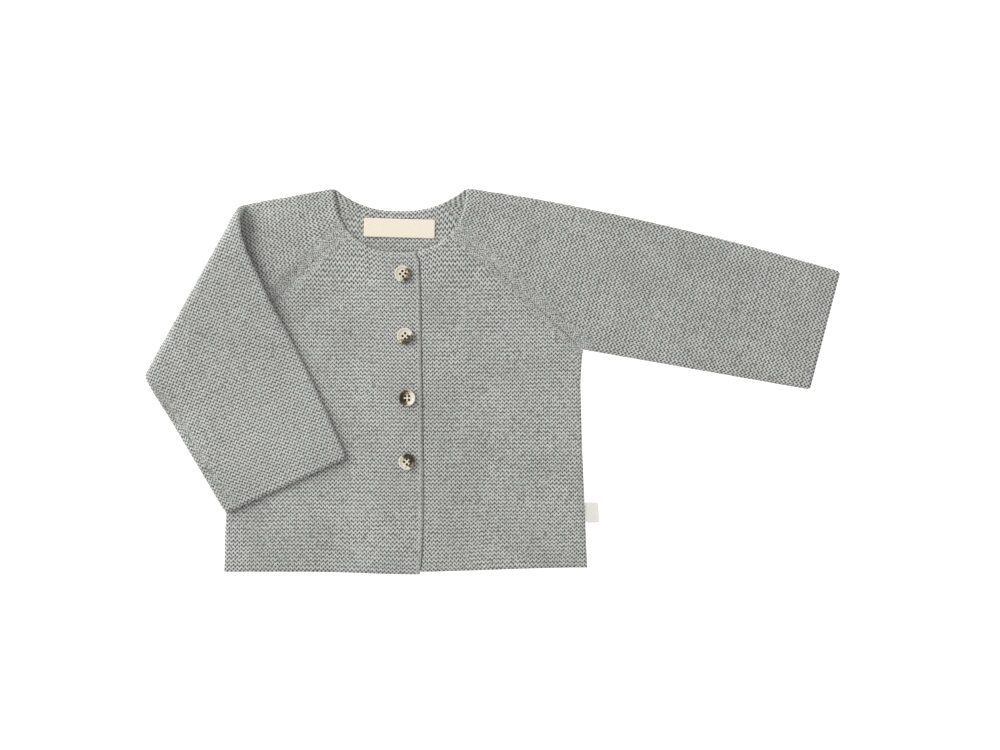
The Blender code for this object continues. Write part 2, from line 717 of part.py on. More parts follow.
def build():
    for old in list(bpy.data.objects):
        bpy.data.objects.remove(old, do_unlink=True)
    yarn = cloth_material("grey garter knit", YARN_COLOUR, 0.95)
    horn = cloth_material("mottled horn", HORN_COLOUR, 0.3)
    woven = cloth_material("cream woven ribbon", RIBBON_COLOUR, 0.9)
    pieces = [back_panel(yarn), right_front(yarn), left_front(yarn), left_sleeve(yarn), right_sleeve(yarn)]
    pieces += [sewn_button(number, place, horn) for number, place in enumerate(BUTTON_PLACES, 1)]
    pieces += [neck_label(woven), side_tag(woven)]
    stand_on_origin(pieces)


build()
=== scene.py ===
"""The looks of the baby cardigan: garter knit, horn buttons, ribbon label and tag, floor and light.

Every knitted piece is one wall of cloth on a grid that follows its own stitches. Four grid steps
make a stitch and four make a garter ridge, so the strands of yarn are in the mesh itself.
Lengths are in millimetres in the garment's own frame: X from the centre front to the wearer's
left, Y up from the hem and Z up from the table. A mesh is put in the frame, in metres, as it is
made.
"""

import math
from collections import namedtuple

import bpy
import numpy as np
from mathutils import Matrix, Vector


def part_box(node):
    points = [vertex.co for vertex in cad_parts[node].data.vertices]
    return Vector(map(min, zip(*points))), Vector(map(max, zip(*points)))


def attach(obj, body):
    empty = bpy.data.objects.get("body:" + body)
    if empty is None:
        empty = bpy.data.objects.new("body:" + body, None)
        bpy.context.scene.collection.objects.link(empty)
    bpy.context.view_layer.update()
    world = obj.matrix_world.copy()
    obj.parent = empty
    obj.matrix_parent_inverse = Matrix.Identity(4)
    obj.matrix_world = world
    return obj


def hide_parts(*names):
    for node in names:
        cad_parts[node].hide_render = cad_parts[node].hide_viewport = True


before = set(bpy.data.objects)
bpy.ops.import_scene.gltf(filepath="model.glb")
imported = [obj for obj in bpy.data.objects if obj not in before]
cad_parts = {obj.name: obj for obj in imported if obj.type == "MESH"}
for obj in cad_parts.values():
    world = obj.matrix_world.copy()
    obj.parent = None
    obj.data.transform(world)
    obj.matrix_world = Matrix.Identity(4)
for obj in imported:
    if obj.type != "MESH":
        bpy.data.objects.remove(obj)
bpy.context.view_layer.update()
MM = 0.001

Place = namedtuple("Place", "x y")
BodySection = namedtuple("BodySection", "height right left")
Swell = namedtuple("Swell", "x y turn length width height")
Wander = namedtuple("Wander", "reach size seed")  # one soft sway of the stitches
Button = namedtuple("Button", "x y smoke_side smoke_reach turn")

# ---- cut and lay of the cardigan, as in its solids -------------------------------------------
WALL = 2.2
GAP = 0.3
HALF = WALL + GAP / 2
TWO_LAYERS = 2 * HALF
SEAM_EDGE = 0.4  # thickness left at a rounded edge
SEAM_FADE = 12.0  # height below the underarm in which the side seams' rounding fades out
SEAM_CALM = 12.0  # width beside a seam in which the cloth's swells die down

BODY_SECTIONS = (  # height, and x of the right and the left side
    BodySection(0.0, -135.0, 135.9),
    BodySection(40.0, -133.8, 134.4),
    BodySection(90.0, -133.4, 132.2),
    BodySection(140.0, -134.2, 130.8),
    BodySection(164.5, -134.8, 132.4),
)
UNDERARM_HEIGHT = BODY_SECTIONS[-1].height
HEM_START = -1.0
HEM_DIP = -1.8
HEM_DIP_REACH = 90.0
HEM_LIFT_LEFT = 3.2
HEM_SHAPING_TOP = 60.0
BACK_RAGLAN_TOP = {"right": Place(-34.7, 274.0), "left": Place(28.5, 274.0)}
FRONT_RAGLAN_TOP = {"right": Place(-43.5, 254.6), "left": Place(36.5, 254.6)}

NECK_CENTRE = -3.5
NECK_HALF_WIDTH = 49.1
NECK_TOP = 285.0
FRONT_NECK_DEPTH = 48.0
FRONT_NECK_POWER = 2.2
NECK_SLOPE_STEP = 0.1  # to each side, for the slope of the neck's edge
BACK_NECK_DEPTH = 16.8
BACK_NECK_POWER = 2.4
NECK_BOTTOM = NECK_TOP - FRONT_NECK_DEPTH
BACK_NECK_BOTTOM = NECK_TOP - BACK_NECK_DEPTH

OVERLAP_EDGE = 13.0
OVERLAP_DRIFT = (  # height, and x of the right front's edge
    (-3.0, 10.6),
    (9.0, 12.2),
    (20.0, 12.9),
    (40.0, 13.4),
    (80.0, 13.3),
    (127.0, 12.9),
    (150.0, 12.4),
    (172.0, 11.9),
    (197.0, 11.7),
    (215.0, 11.1),
    (240.0, 10.4),
)
OVERLAP_DRIFT_SPREAD = 4.0  # its corners are evened out over this height, up and down
OVERLAP_CORNER = 2.6
OVERLAP_CORNER_START = 227.0
OVERLAP_CORNER_HEIGHT = 11.0
UNDERLAP_EDGE = -12.7
OVERLAP_RAMP_START = -45.0
OVERLAP_RAMP_END = -14.0

LEFT_CUFF = {"top": Place(324.8, 223.0), "under": Place(302.0, 134.9)}
SLEEVE_TOP_BULGE = 5.4
SLEEVE_TOP_SKEW = 0.9  # puts the bulge a little nearer the shoulder
FOLD_TURN = math.radians(60.8)
FOLD_EDGE = 240.4
FOLD_CLEAR = 2.3
FOLD_TOP_ALONG = 182.6
FOLD_UNDER_ALONG = 37.3
FOLD_SLIP_TOP = 9.5
FOLD_SLIP_UNDER = 9.0
RIGHT_CUFF = {"top": Place(-43.3, 84.0), "under": Place(-133.4, 42.9)}
FOLDED_EDGE_BOW = (  # share of the folded sleeve's free edge from the fold, and how far it bows in
    (0.0, 0.0),
    (0.04, 5.0),
    (0.1, 7.8),
    (0.2, 7.3),
    (0.34, 6.8),
    (0.48, 4.1),
    (0.62, 1.8),
    (0.8, 0.3),
    (1.0, 0.0),
)
FOLDED_EDGE_LIFT = 12.5
FOLD_SETTLE = 0.25
SAG_REACH = 60.0

SWELLS = (  # x, y, turn in degrees, length, width, height
    Swell(92.0, 138.0, 42.0, 52.0, 17.0, 1.2),
    Swell(62.0, 36.0, 4.0, 60.0, 15.0, 0.9),
    Swell(-66.0, 34.0, -4.0, 48.0, 13.0, 0.8),
    Swell(-78.0, 214.0, -38.0, 34.0, 13.0, 0.8),
    Swell(70.0, 214.0, 36.0, 32.0, 12.0, 0.7),
    Swell(158.0, 226.0, -14.0, 58.0, 17.0, 1.2),
    Swell(182.0, 180.0, -10.0, 40.0, 12.0, 0.9),
    Swell(262.0, 192.0, 74.0, 24.0, 13.0, 0.8),
    Swell(-111.0, 244.0, -62.0, 42.0, 23.0, 5.6),
)

# ---- knitting --------------------------------------------------------------------------------
STITCH = 3.04  # width of one stitch
RIDGE = 3.0  # height of one garter ridge
GRID = 4  # grid steps to a stitch and to a ridge
COLUMN = STITCH / GRID
ROW = RIDGE / GRID
STRAND_WAVE = 0.265  # how far a strand swings, in ridges
PIT_DEPTH = 0.85  # from the strands' tops to the pits between them
STRAND_RISE = 0.05  # how far a strand's bends stand over its slopes
STRAND_PROUD = 0.12  # how far the strands' tops stand over the solid's face
UNEVEN_STITCHES = 0.18
UNEVEN_SEED = 11
UNEVEN_SHIFT = 0.3  # how far that noise lies to the side of the stitches
COARSE = 8  # grid steps between points where nothing shows
STEP_COLUMNS = 10
CUT_ROUNDING = 0.35  # at the cut, how much of a column joins the next one
CALM_EDGE = 6.0  # width at the cut in which the stitches' sway dies down
PANEL_WANDERS = (  # reach, size and seed: across the panel, then up it
    (Wander(0.9, 31.0, 1), Wander(0.3, 9.0, 2)),
    (Wander(0.9, 37.0, 3), Wander(0.3, 11.0, 4)),
)
SLEEVE_WANDERS = (  # in stitches and ridges
    (Wander(0.8, 11.0, 41), Wander(0.3, 3.5, 43)),
    (Wander(0.8, 11.0, 42), Wander(0.3, 3.5, 44)),
)
TOP_FOLD_CALM = 14.0  # and beside a sleeve's top fold

SEAM_GAP = 0.2
SEAM_CLOSING = 0.2  # how much nearer than the solids the two sides of a front seam lie
SEAM_CLOSING_UNDERARM = 0.45
SEAM_CLOSING_START = 3.0  # height below the underarm
BACK_SEAM_CLOSING = {"right": 0.0, "left": 0.28}
BACK_SEAM_CLOSING_REACH = 6.0  # height over the underarm
SEAM_BAND = 8.0  # width in which a seam crowds the stitches
SLEEVE_SEAM_BAND = 12.0
SEAM_BAND_FIRMNESS = 1.4
UNDERARM_SEAM_BAND = 4.5
UNDERARM_SEAM = (Place(-185.0, 137.5), Place(-129.0, 52.5))  # where it shows, on the turned-back sleeve
UNDERARM_SEAM_CROWDING = 0.7
UNDERARM_SEAM_DITCH = 0.5
NO_SEAM_NEAR = 99.0
SEAM_CROWDING = 0.4
SEAM_CROWD_SIZE = 3.1
SEAM_CROWD_SEEDS = (21, 22)
SEAM_DITCH = 0.38
SEAM_DITCH_UPPER = 0.05
SEAM_DITCH_WIDTH = 0.9
SEAM_DITCH_FADE_START = 6.0  # height over the underarm
SEAM_DITCH_FADE = 30.0  # height in which the crease gets its upper depth
SEAM_DITCH_UNEVEN = 0.6
SEAM_DITCH_SIZE = 3.0  # of its unevenness
SEAM_DITCH_SEED = 31
SEAM_LUMPS = 0.18
SEAM_LUMP_SIZE = 1.3
SEAM_LUMP_SEED = 23
SEAM_PITS = 0.5  # depth of the pits among the lumps, as a share of SEAM_LUMPS
SEAM_PIT_SIZE = 2.3 * SEAM_LUMP_SIZE
SEAM_PIT_SEED = 24
SEAM_LUMPS_SUNK = 0.1
BACK_SEAM_RIDGE = 0.9
BACK_SEAM_RIDGE_OFF = 1.6  # distance of the ridge from the seam
BACK_SEAM_RIDGE_WIDTH = 0.8

EDGE_ROLL = 2.0  # width in which a free edge rolls down
EDGE_DROP = 1.2
SELVEDGE_WIDTH = 2.8  # chain of stitches along the button band and the neck
SELVEDGE_FALL = 1.4  # how far the chain falls at its edge
SELVEDGE_SLOPE = 0.55  # share of its width that falls
SELVEDGE_SUNK = 0.1
SELVEDGE_END = 0.5  # width in which the chain gives way to the knit
SELVEDGE_END_START = 0.2  # inside the chain's width
LINK_RISE = 0.12
LINK_UNEVEN = 0.25
LINK_SIZE = 1.7
LINK_WIDTH = 3.0
LINK_SEED = 61
LINK_START = 0.3  # share of the chain's width in which its links rise
NECK_CHAIN_RELIEF = 0.7  # the neck's chain is fainter than the button band's
# share of the chain's painted lightening that the neck's chain gets
NECK_CHAIN_PAINTED_LIGHTENING = 0.55


# ---- small helpers ---------------------------------------------------------------------------
def mix(start, end, share):
    return start + (end - start) * share


def ease(share):
    """0 below 0, 1 above 1 and a smooth climb between."""
    held = np.clip(share, 0.0, 1.0)
    return held * held * (3.0 - 2.0 * held)


def hump(distance, width):
    """1 at no distance, falling away softly on both sides."""
    return np.exp(-((distance / width) ** 2))


def unit(vector):
    return np.asarray(vector, float) / np.linalg.norm(vector)


def stacked(*parts):
    """Coordinates put together point by point."""
    return np.stack(parts, -1)


def from_segment(x, y, start, end):
    """Distance from a straight seam."""
    run = np.array((end.x - start.x, end.y - start.y))
    share = np.clip(((x - start.x) * run[0] + (y - start.y) * run[1]) / (run @ run), 0.0, 1.0)
    return np.hypot(x - start.x - share * run[0], y - start.y - share * run[1])


LATTICE = 64  # places across and up a noise, before it repeats


def soft_noise(x, y, size, seed):
    """Smooth noise from -1 to 1, with features of about this size."""
    lattice = np.random.default_rng(seed).uniform(-1.0, 1.0, (LATTICE, LATTICE))
    across, up = np.asarray(x) / size, np.asarray(y) / size
    column, row = np.floor(across).astype(int), np.floor(up).astype(int)
    u, v = ease(across - column), ease(up - row)

    def corner(right, above):
        return lattice[(row + above) % LATTICE, (column + right) % LATTICE]

    return mix(mix(corner(0, 0), corner(1, 0), u), mix(corner(0, 1), corner(1, 1), u), v)


def swayed(x, y, wanders):
    """How far the stitches sway to one side here."""
    return sum(wander.reach * soft_noise(x, y, wander.size, wander.seed) for wander in wanders)


def swell(x, y):
    """How far the upper layers stand off the back."""
    total = 0.0
    for row in SWELLS:
        turn = math.radians(row.turn)
        along = (x - row.x) * math.cos(turn) + (y - row.y) * math.sin(turn)
        across = (y - row.y) * math.cos(turn) - (x - row.x) * math.sin(turn)
        total = total + row.height * hump(along, row.length) * hump(across, row.width)
    return total


# ---- outline ---------------------------------------------------------------------------------
def side_edge(side, height):
    """X of the body's side seam at a height."""
    heights = [section.height for section in BODY_SECTIONS]
    return np.interp(height, heights, [getattr(section, side) for section in BODY_SECTIONS])


def panel_edge(side, height, raglan_top):
    """X of a panel's outer edge: the side seam, then the raglan line."""
    seam = side_edge(side, height)
    share = (height - UNDERARM_HEIGHT) / (raglan_top.y - UNDERARM_HEIGHT)
    clearance = SEAM_GAP if side == "right" else -SEAM_GAP
    return np.where(height <= UNDERARM_HEIGHT, seam, mix(seam, raglan_top.x, share) + clearance)


def underarm_point(side):
    beside_body = GAP if side == "left" else -GAP
    return Place(float(side_edge(side, UNDERARM_HEIGHT)) + beside_body, UNDERARM_HEIGHT + GAP)


def across_neck(x):
    return np.minimum(np.abs(x - NECK_CENTRE) / NECK_HALF_WIDTH, 1.0)


def front_neck_height(x):
    sunk = (1.0 - across_neck(x) ** FRONT_NECK_POWER) ** (1.0 / FRONT_NECK_POWER)
    return NECK_TOP - FRONT_NECK_DEPTH * sunk


def front_neck_reach(height):
    """Distance from the neck's centre to its edge at a height."""
    depth = np.clip((NECK_TOP - height) / FRONT_NECK_DEPTH, 0.0, 1.0)
    return NECK_HALF_WIDTH * (1.0 - depth**FRONT_NECK_POWER) ** (1.0 / FRONT_NECK_POWER)


def below_front_neck(x, y):
    """Distance from the neck's edge, for a place below it."""
    rise = front_neck_height(x + NECK_SLOPE_STEP) - front_neck_height(x - NECK_SLOPE_STEP)
    steepness = rise / (2 * NECK_SLOPE_STEP)
    return np.maximum(front_neck_height(x) - y, 0.0) / np.sqrt(1.0 + steepness**2)


def back_neck_height(x):
    return NECK_TOP - BACK_NECK_DEPTH * (1.0 - across_neck(x) ** BACK_NECK_POWER)


def hem_height(x, side):
    """Y of the hem, which rises a little to the wearer's left and dips at the right front's edge."""
    if side == "left":
        return HEM_START + HEM_LIFT_LEFT * ease(x / BODY_SECTIONS[0].left)
    return HEM_START + HEM_DIP * ease(1.0 + (x - OVERLAP_EDGE) / HEM_DIP_REACH)


def overlap_edge(y):
    """X of the right front's free edge at a height."""
    heights, places = zip(*OVERLAP_DRIFT)
    shifts = (-OVERLAP_DRIFT_SPREAD, 0.0, OVERLAP_DRIFT_SPREAD)
    edge = sum(np.interp(y + shift, heights, places) for shift in shifts) / len(shifts)
    return edge - OVERLAP_CORNER * ease((y - OVERLAP_CORNER_START) / OVERLAP_CORNER_HEIGHT)


# ---- stitches --------------------------------------------------------------------------------
def strand_height(stitch, ridge):
    """Height of the knit's face, 1 along its wavy strands and 0 in the pits between them."""
    from_strand = ridge - STRAND_WAVE * np.cos(math.tau * stitch)
    slope = math.tau * STRAND_WAVE * np.sin(math.tau * stitch)
    away = 2.0 * np.abs(from_strand - np.round(from_strand)) / np.sqrt(1.0 + slope**2)
    return 1.0 - away**2 + STRAND_RISE * np.cos(2.0 * math.tau * stitch)


def knit_relief(stitches):
    """How far the face stands over the plain wall, with no two stitches quite alike."""
    stitch, ridge = stitches[..., 0], stitches[..., 1]
    uneven = UNEVEN_STITCHES * soft_noise(stitch + UNEVEN_SHIFT, ridge, 1.0, UNEVEN_SEED)
    return STRAND_PROUD + PIT_DEPTH * (strand_height(stitch, ridge) - 1.0) + uneven


def edge_roll(distance):
    """How far the face drops at this distance from a free edge."""
    return EDGE_DROP * (1.0 - ease(distance / EDGE_ROLL))


def selvedge_relief(along, distance):
    """A round chain of stitches along a free edge, one link to a ridge, that falls to the edge."""
    across = np.clip(distance / SELVEDGE_WIDTH, 0.0, 1.0)
    links = LINK_RISE * np.cos(math.tau * along / RIDGE)
    links = links + LINK_UNEVEN * soft_noise(along, LINK_WIDTH * across, LINK_SIZE, LINK_SEED)
    fall = SELVEDGE_FALL * np.clip(1.0 - across / SELVEDGE_SLOPE, 0.0, 1.0) ** 2
    return links * ease(across / LINK_START) - fall - SELVEDGE_SUNK


def seam_band(distance, width):
    """Where a seam crowds the stitches: 1 beside it, fading to 0 at this width."""
    return ease(SEAM_BAND_FIRMNESS * (1.0 - distance / width))


def seam_relief(x, y):
    """The small uneven stitches that a seam draws up."""
    pits = soft_noise(x, y, SEAM_PIT_SIZE, SEAM_PIT_SEED) ** 2
    lumps = soft_noise(x, y, SEAM_LUMP_SIZE, SEAM_LUMP_SEED)
    return SEAM_LUMPS * (lumps - SEAM_PITS * pits) - SEAM_LUMPS_SUNK


def seam_ditch(x, y, distance):
    """The crease on a seam, deepest by the underarm."""
    fading = ease((y - UNDERARM_HEIGHT - SEAM_DITCH_FADE_START) / SEAM_DITCH_FADE)
    depth = mix(SEAM_DITCH, SEAM_DITCH_UPPER, fading)
    uneven = 1.0 + SEAM_DITCH_UNEVEN * soft_noise(x, y, SEAM_DITCH_SIZE, SEAM_DITCH_SEED)
    return depth * hump(distance, SEAM_DITCH_WIDTH) * uneven


def back_seam_ridge(distance):
    """The roll of cloth beside a raglan seam on the inside of the back."""
    return BACK_SEAM_RIDGE * hump(distance - BACK_SEAM_RIDGE_OFF, BACK_SEAM_RIDGE_WIDTH)


def crowded(x, y, band):
    """Sideways shift of stitches that a seam crowds together."""
    return [SEAM_CROWDING * band * soft_noise(x, y, SEAM_CROWD_SIZE, seed) for seed in SEAM_CROWD_SEEDS]


# ---- cloth on a stitch grid ------------------------------------------------------------------
BACK_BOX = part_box("back")
FRAME_SHIFT = np.array(
    (BACK_BOX[0].x / MM - BODY_SECTIONS[-1].right, BACK_BOX[1].y / MM - BACK_RAGLAN_TOP["right"].y, 0.0)
)
BAKE_FACE = 0.84  # share of the bake map's width for the outer face
BAKE_RIM = 0.03  # and of its height for the cut's edge
BAKE_RIM_LINES = (0.002, 0.026)  # where that strip shows the outer and the inner side of the edge
BAKE_MARGIN = 0.01


def stepped_rows(limits):
    """Rows after which the cut steps far to one side, as it does at the neck."""
    return [row for row in range(len(limits) - 1) if abs(limits[row + 1] - limits[row]) > STEP_COLUMNS]


def coarse_rows(first, last):
    """For each row, the row that stands for it where the cloth isn't fine."""
    rows = len(first)
    fixed = {0, rows - 1}
    for row in stepped_rows(first) + stepped_rows(last):
        fixed |= {row, row + 1}
    fixed = sorted(fixed)
    near = COARSE * np.round(np.arange(rows) / COARSE).astype(int)
    for start, end in zip(fixed, fixed[1:]):
        near[start : end + 1] = np.clip(near[start : end + 1], start, end)
    near[fixed] = fixed
    return near


def in_blocks(fine, first, last):
    """Whole coarse blocks that are fine anywhere."""
    rows = np.unique(coarse_rows(first, last), return_inverse=True)[1][:, None]
    columns = np.round(np.arange(fine.shape[1]) / COARSE).astype(int)[None, :]
    blocks = np.zeros((rows.max() + 1, columns.max() + 1), bool)
    np.logical_or.at(blocks, (rows, columns), fine)
    return blocks[rows, columns]


def kept_point(fine, first, last):
    """For each grid point, the row and column of the point that stands for it in the mesh.

    A point past the cut's edge stands for the edge. Where the cloth isn't fine, one point in
    each COARSE steps stands for those round it.
    """
    row, column = np.indices(fine.shape)
    held = np.clip(column, first[row], last[row])
    near_row = coarse_rows(first, last)[row]
    near_column = np.clip(COARSE * np.round(held / COARSE).astype(int), first[near_row], last[near_row])
    near_column = np.where(held <= first[row], first[near_row], near_column)
    near_column = np.where(held >= last[row], last[near_row], near_column)
    is_fine = fine[row, held]
    return np.where(is_fine, row, near_row), np.where(is_fine, held, near_column)


def grid_triangles(point, first, last):
    """Two triangles to a grid square, with the cuts meeting at the pits and on the strands."""
    a, b, c, d = point[:-1, :-1], point[:-1, 1:], point[1:, 1:], point[1:, :-1]
    row, column = np.indices(a.shape)
    odd = ((row + column) % 2 == 1)[..., None]
    one = np.where(odd, stacked(a, b, c), stacked(a, b, d))
    other = np.where(odd, stacked(a, c, d), stacked(b, c, d))
    kept = np.ones(a.shape, bool)
    for stepped in stepped_rows(last):
        kept[stepped, last[stepped + 1] :] = False
    for stepped in stepped_rows(first):
        kept[stepped, : first[stepped + 1]] = False
    return np.concatenate((one[kept], other[kept]))


def side_path(limits):
    """One side of the cut from bottom to top, with its steps."""
    steps = stepped_rows(limits)
    path = []
    for row, limit in enumerate(limits):
        path.append((row, limit))
        if row in steps:
            toward = 1 if limits[row + 1] > limit else -1
            path += [(row, column) for column in range(limit + toward, limits[row + 1] + toward, toward)]
    return path


def border_of(first, last):
    """The cut's edge, once round, as rows and columns."""
    top = len(first) - 1
    path = [(0, column) for column in range(first[0] + 1, last[0])]
    path += side_path(last)
    path += [(top, column) for column in range(last[-1] - 1, first[-1], -1)]
    path += side_path(first)[::-1]
    return tuple(np.array(path).T)


def whole_triangles(triangles):
    """Leaves out triangles that have shrunk to a line."""
    a, b, c = triangles.T
    return triangles[(a != b) & (b != c) & (c != a)]


def without_doubles(triangles):
    """Leaves out the pairs of triangles that lie back to back on the same three points."""
    _, which, count = np.unique(np.sort(triangles, 1), axis=0, return_inverse=True, return_counts=True)
    return triangles[count[which.ravel()] == 1]


def wall_triangles(cut, fine_outer, fine_inner):
    """The triangles of a closed wall, and how many of them are on its two faces.

    Its points are numbered row by row over the outer grid, then over the inner one.
    """
    rows, columns = fine_outer.shape
    skins = []
    for index, fine in enumerate((fine_outer, fine_inner)):
        row, column = kept_point(fine, *cut)
        skins.append(row * columns + column + index * rows * columns)
    outer, inner = (skin[border_of(*cut)] for skin in skins)
    next_outer, next_inner = np.roll(outer, -1), np.roll(inner, -1)
    rim = np.concatenate((stacked(outer, inner, next_inner), stacked(outer, next_inner, next_outer)))
    faces = (grid_triangles(skins[0], *cut), grid_triangles(skins[1], *cut)[:, ::-1])
    faces = np.concatenate([without_doubles(whole_triangles(face)) for face in faces])
    return np.concatenate((faces, whole_triangles(rim))), len(faces)


def bake_places(corners, is_rim, rows, columns):
    """Where each corner of a wall's triangles lies on its bake map, with no two faces on one place."""
    is_outer = corners < rows * columns
    row, column = np.divmod(corners % (rows * columns), columns)
    along, down = column / columns, row / rows
    outer_across = BAKE_MARGIN / 2 + (BAKE_FACE - BAKE_MARGIN) * along
    inner_across = BAKE_FACE + BAKE_MARGIN / 2 + (1.0 - BAKE_MARGIN - BAKE_FACE) * along
    rim_across = BAKE_MARGIN + (1.0 - 2 * BAKE_MARGIN) * (row + column) / (rows + columns)
    face_up = BAKE_RIM + BAKE_MARGIN + (1.0 - BAKE_RIM - 2 * BAKE_MARGIN) * down
    across = np.where(is_rim, rim_across, np.where(is_outer, outer_across, inner_across))
    return stacked(across, np.where(is_rim, np.where(is_outer, *BAKE_RIM_LINES), face_up))


def cloth_piece(name, outer, inner, cut, fine_outer, fine_inner, stitches, material, shares=()):
    """A closed wall of cloth between two grids of points, cut to shape row by row.

    Its two faces keep every grid point where they are fine. Each of shares is a name and its
    values from 0 to 1 on the outer face, for the material.
    """
    rows, columns = fine_outer.shape
    triangles, face_count = wall_triangles(cut, fine_outer, fine_inner)
    places = np.concatenate((outer.reshape(-1, 3), inner.reshape(-1, 3)))
    points = places[triangles]
    if np.einsum("ij,ij->i", points[:, 0], np.cross(points[:, 1], points[:, 2])).sum() < 0.0:
        triangles = triangles[:, ::-1]
    used, packed = np.unique(triangles, return_inverse=True)
    mesh = bpy.data.meshes.new(name)
    mesh.from_pydata(((places[used] + FRAME_SHIFT) * MM).tolist(), [], packed.reshape(-1, 3).tolist())
    corners = triangles.reshape(-1)
    is_rim = np.repeat(np.arange(len(triangles)) >= face_count, 3)
    both = np.concatenate((stitches.reshape(-1, 2), stitches.reshape(-1, 2)))
    maps = {"stitches": both[corners], "OFBake": bake_places(corners, is_rim, rows, columns)}
    for label, values in maps.items():
        mesh.uv_layers.new(name=label).uv.foreach_set("vector", values.astype(np.float32).ravel())
    mesh.uv_layers.active = mesh.uv_layers["stitches"]
    for label, values in shares:
        share = mesh.attributes.new(label, "FLOAT", "POINT")
        values = np.concatenate((values.ravel(), np.zeros(rows * columns)))
        share.data.foreach_set("value", values[used].astype(np.float32))
    mesh.shade_smooth()
    mesh.materials.append(material)
    mesh.validate()
    made = bpy.data.objects.new(name, mesh)
    bpy.context.scene.collection.objects.link(made)
    return made


def as_sheet(piece, cut):
    """Works out the flat size and area of a cloth's cut, which nothing uses, and gives the piece back as
    it is.
    """
    first, last = cut
    widths = COLUMN * (last - first)
    area = ROW * float((widths[:-1] + widths[1:]).sum()) / 2
    return piece


def cut_grid(start, end, drift):
    """Columns of stitches, cut between two edges: each point's place and each row's cut.

    drift is how far each row's stitches lie to one side of the row's own zero.
    """
    low = math.floor((start + drift).min() / COLUMN)
    high = math.ceil((end + drift).max() / COLUMN)
    first = np.floor((start + drift) / COLUMN - low + CUT_ROUNDING).astype(int)
    last = np.maximum(np.ceil((end + drift) / COLUMN - low - CUT_ROUNDING).astype(int), first + 1)
    index = np.arange(high - low + 1)[None, :]
    place = COLUMN * (index + low) - drift[:, None]
    place = np.where(index <= first[:, None], start[:, None], place)
    return np.where(index >= last[:, None], end[:, None], place), (first, last)


# ---- body panels -----------------------------------------------------------------------------
NECK_BEND_START = 207.0
NECK_BEND = 7.0  # how far the courses climb beside the neck
FRONT_COURSES_TOP = 246.9
BACK_NECK_BEND = 24.0
PLACKET_DOME = 0.3
PLACKET_DOME_START = 29.0  # distance from the free edge
PLACKET_DOME_REACH = 22.0
PLACKET_DOME_EDGE = 3.0  # width beside the edge in which the dome falls away
BESIDE_BAND_SWELL = 1.1
BESIDE_BAND_START = 0.2
BESIDE_BAND_RISE = 1.6  # width in which the swell rises
BESIDE_BAND_CREST = 4.0  # distance from the band at which the swell begins to fade
BESIDE_BAND_FADE = 24.0
NECK_EDGE_LIFT = 0.45  # the neck's edge stands a little off the back
NECK_EDGE_LIFT_REACH = 9.0
HIDDEN_DROP = 0.3  # the left front lies a little lower where the right one covers it
HIDDEN_DROP_START = 1.0  # past the right front's edge
HIDDEN_DROP_REACH = 1.5
RIDGE_SUNK = 0.12
MEETING_ROUNDS = 12
RIGHT_FRONT_INSET = 8.0
SHOWN_BACK = (10.0, 6.0)  # how far the back is knitted below the neck's opening and beside it


def side_rounding(y, distance):
    """How far a wall's face turns in toward the side seam, below the underarm."""
    inside = np.clip(distance, 0.0, HALF)
    turned_in = np.minimum(HALF - np.sqrt(HALF**2 - (HALF - inside) ** 2), WALL - SEAM_EDGE)
    return turned_in * (1.0 - ease((y - UNDERARM_HEIGHT) / SEAM_FADE + 1.0))


def right_front_base(x):
    """Underside of the right front, which climbs over the left one at the centre."""
    climb = ease((x - OVERLAP_RAMP_START) / (OVERLAP_RAMP_END - OVERLAP_RAMP_START))
    return (WALL + GAP) * (1.0 + climb)


def left_front_base(x):
    """Underside of the left front, which lies flat on the back."""
    return np.full_like(x, WALL + GAP)


def left_placket(y):
    """X of the left front's hidden edge."""
    return np.full_like(y, UNDERLAP_EDGE)


def under_right_front(x, _):
    """Where the right front covers the left one, well inside its edge."""
    return x < OVERLAP_EDGE - RIGHT_FRONT_INSET


def placket_dome(x, y):
    """The button band is a little domed, highest beside its free edge."""
    inside = overlap_edge(y) - x
    rising = ease((PLACKET_DOME_START - inside) / PLACKET_DOME_REACH)
    return PLACKET_DOME * rising * ease(inside / PLACKET_DOME_EDGE)


def beside_band(x, y):
    """The left front swells a little where the button band lets it go."""
    outside = x - overlap_edge(y)
    fading = ease((outside - BESIDE_BAND_CREST) / BESIDE_BAND_FADE)
    return BESIDE_BAND_SWELL * ease((outside - BESIDE_BAND_START) / BESIDE_BAND_RISE) * (1.0 - fading)


def hidden_drop(x, y, side):
    """How much lower the left front's face lies where the right front covers it."""
    if side == "right":
        return 0.0
    return HIDDEN_DROP * ease((overlap_edge(y) + HIDDEN_DROP_START - x) / HIDDEN_DROP_REACH)


def front_course(x, course, side):
    """Y of a course: it follows the hem at the bottom and climbs beside the neck at the top."""
    climb = np.minimum(front_neck_height(x) - NECK_BOTTOM, NECK_BEND)
    near_neck = ease((course - NECK_BEND_START) / (NECK_BOTTOM - NECK_BEND_START))
    near_hem = 1.0 - ease(course / HEM_SHAPING_TOP)
    return course + climb * near_neck + hem_height(x, side) * near_hem


def back_course(x, course):
    climb = back_neck_height(x) - BACK_NECK_BOTTOM
    near_neck = ease((course - BACK_NECK_BOTTOM) / BACK_NECK_BEND + 1.0)
    near_hem = 1.0 - ease(course / HEM_SHAPING_TOP)
    return course + climb * near_neck + hem_height(x, "left") * near_hem


def course_rows(top):
    return np.minimum(ROW * np.arange(math.ceil(top / ROW) + 1), top)


def met_by(courses, course_height, edge):
    """X at which each course meets a leaning edge."""
    x = edge(courses)
    for _ in range(MEETING_ROUNDS):
        x = edge(course_height(x, courses))
    return x


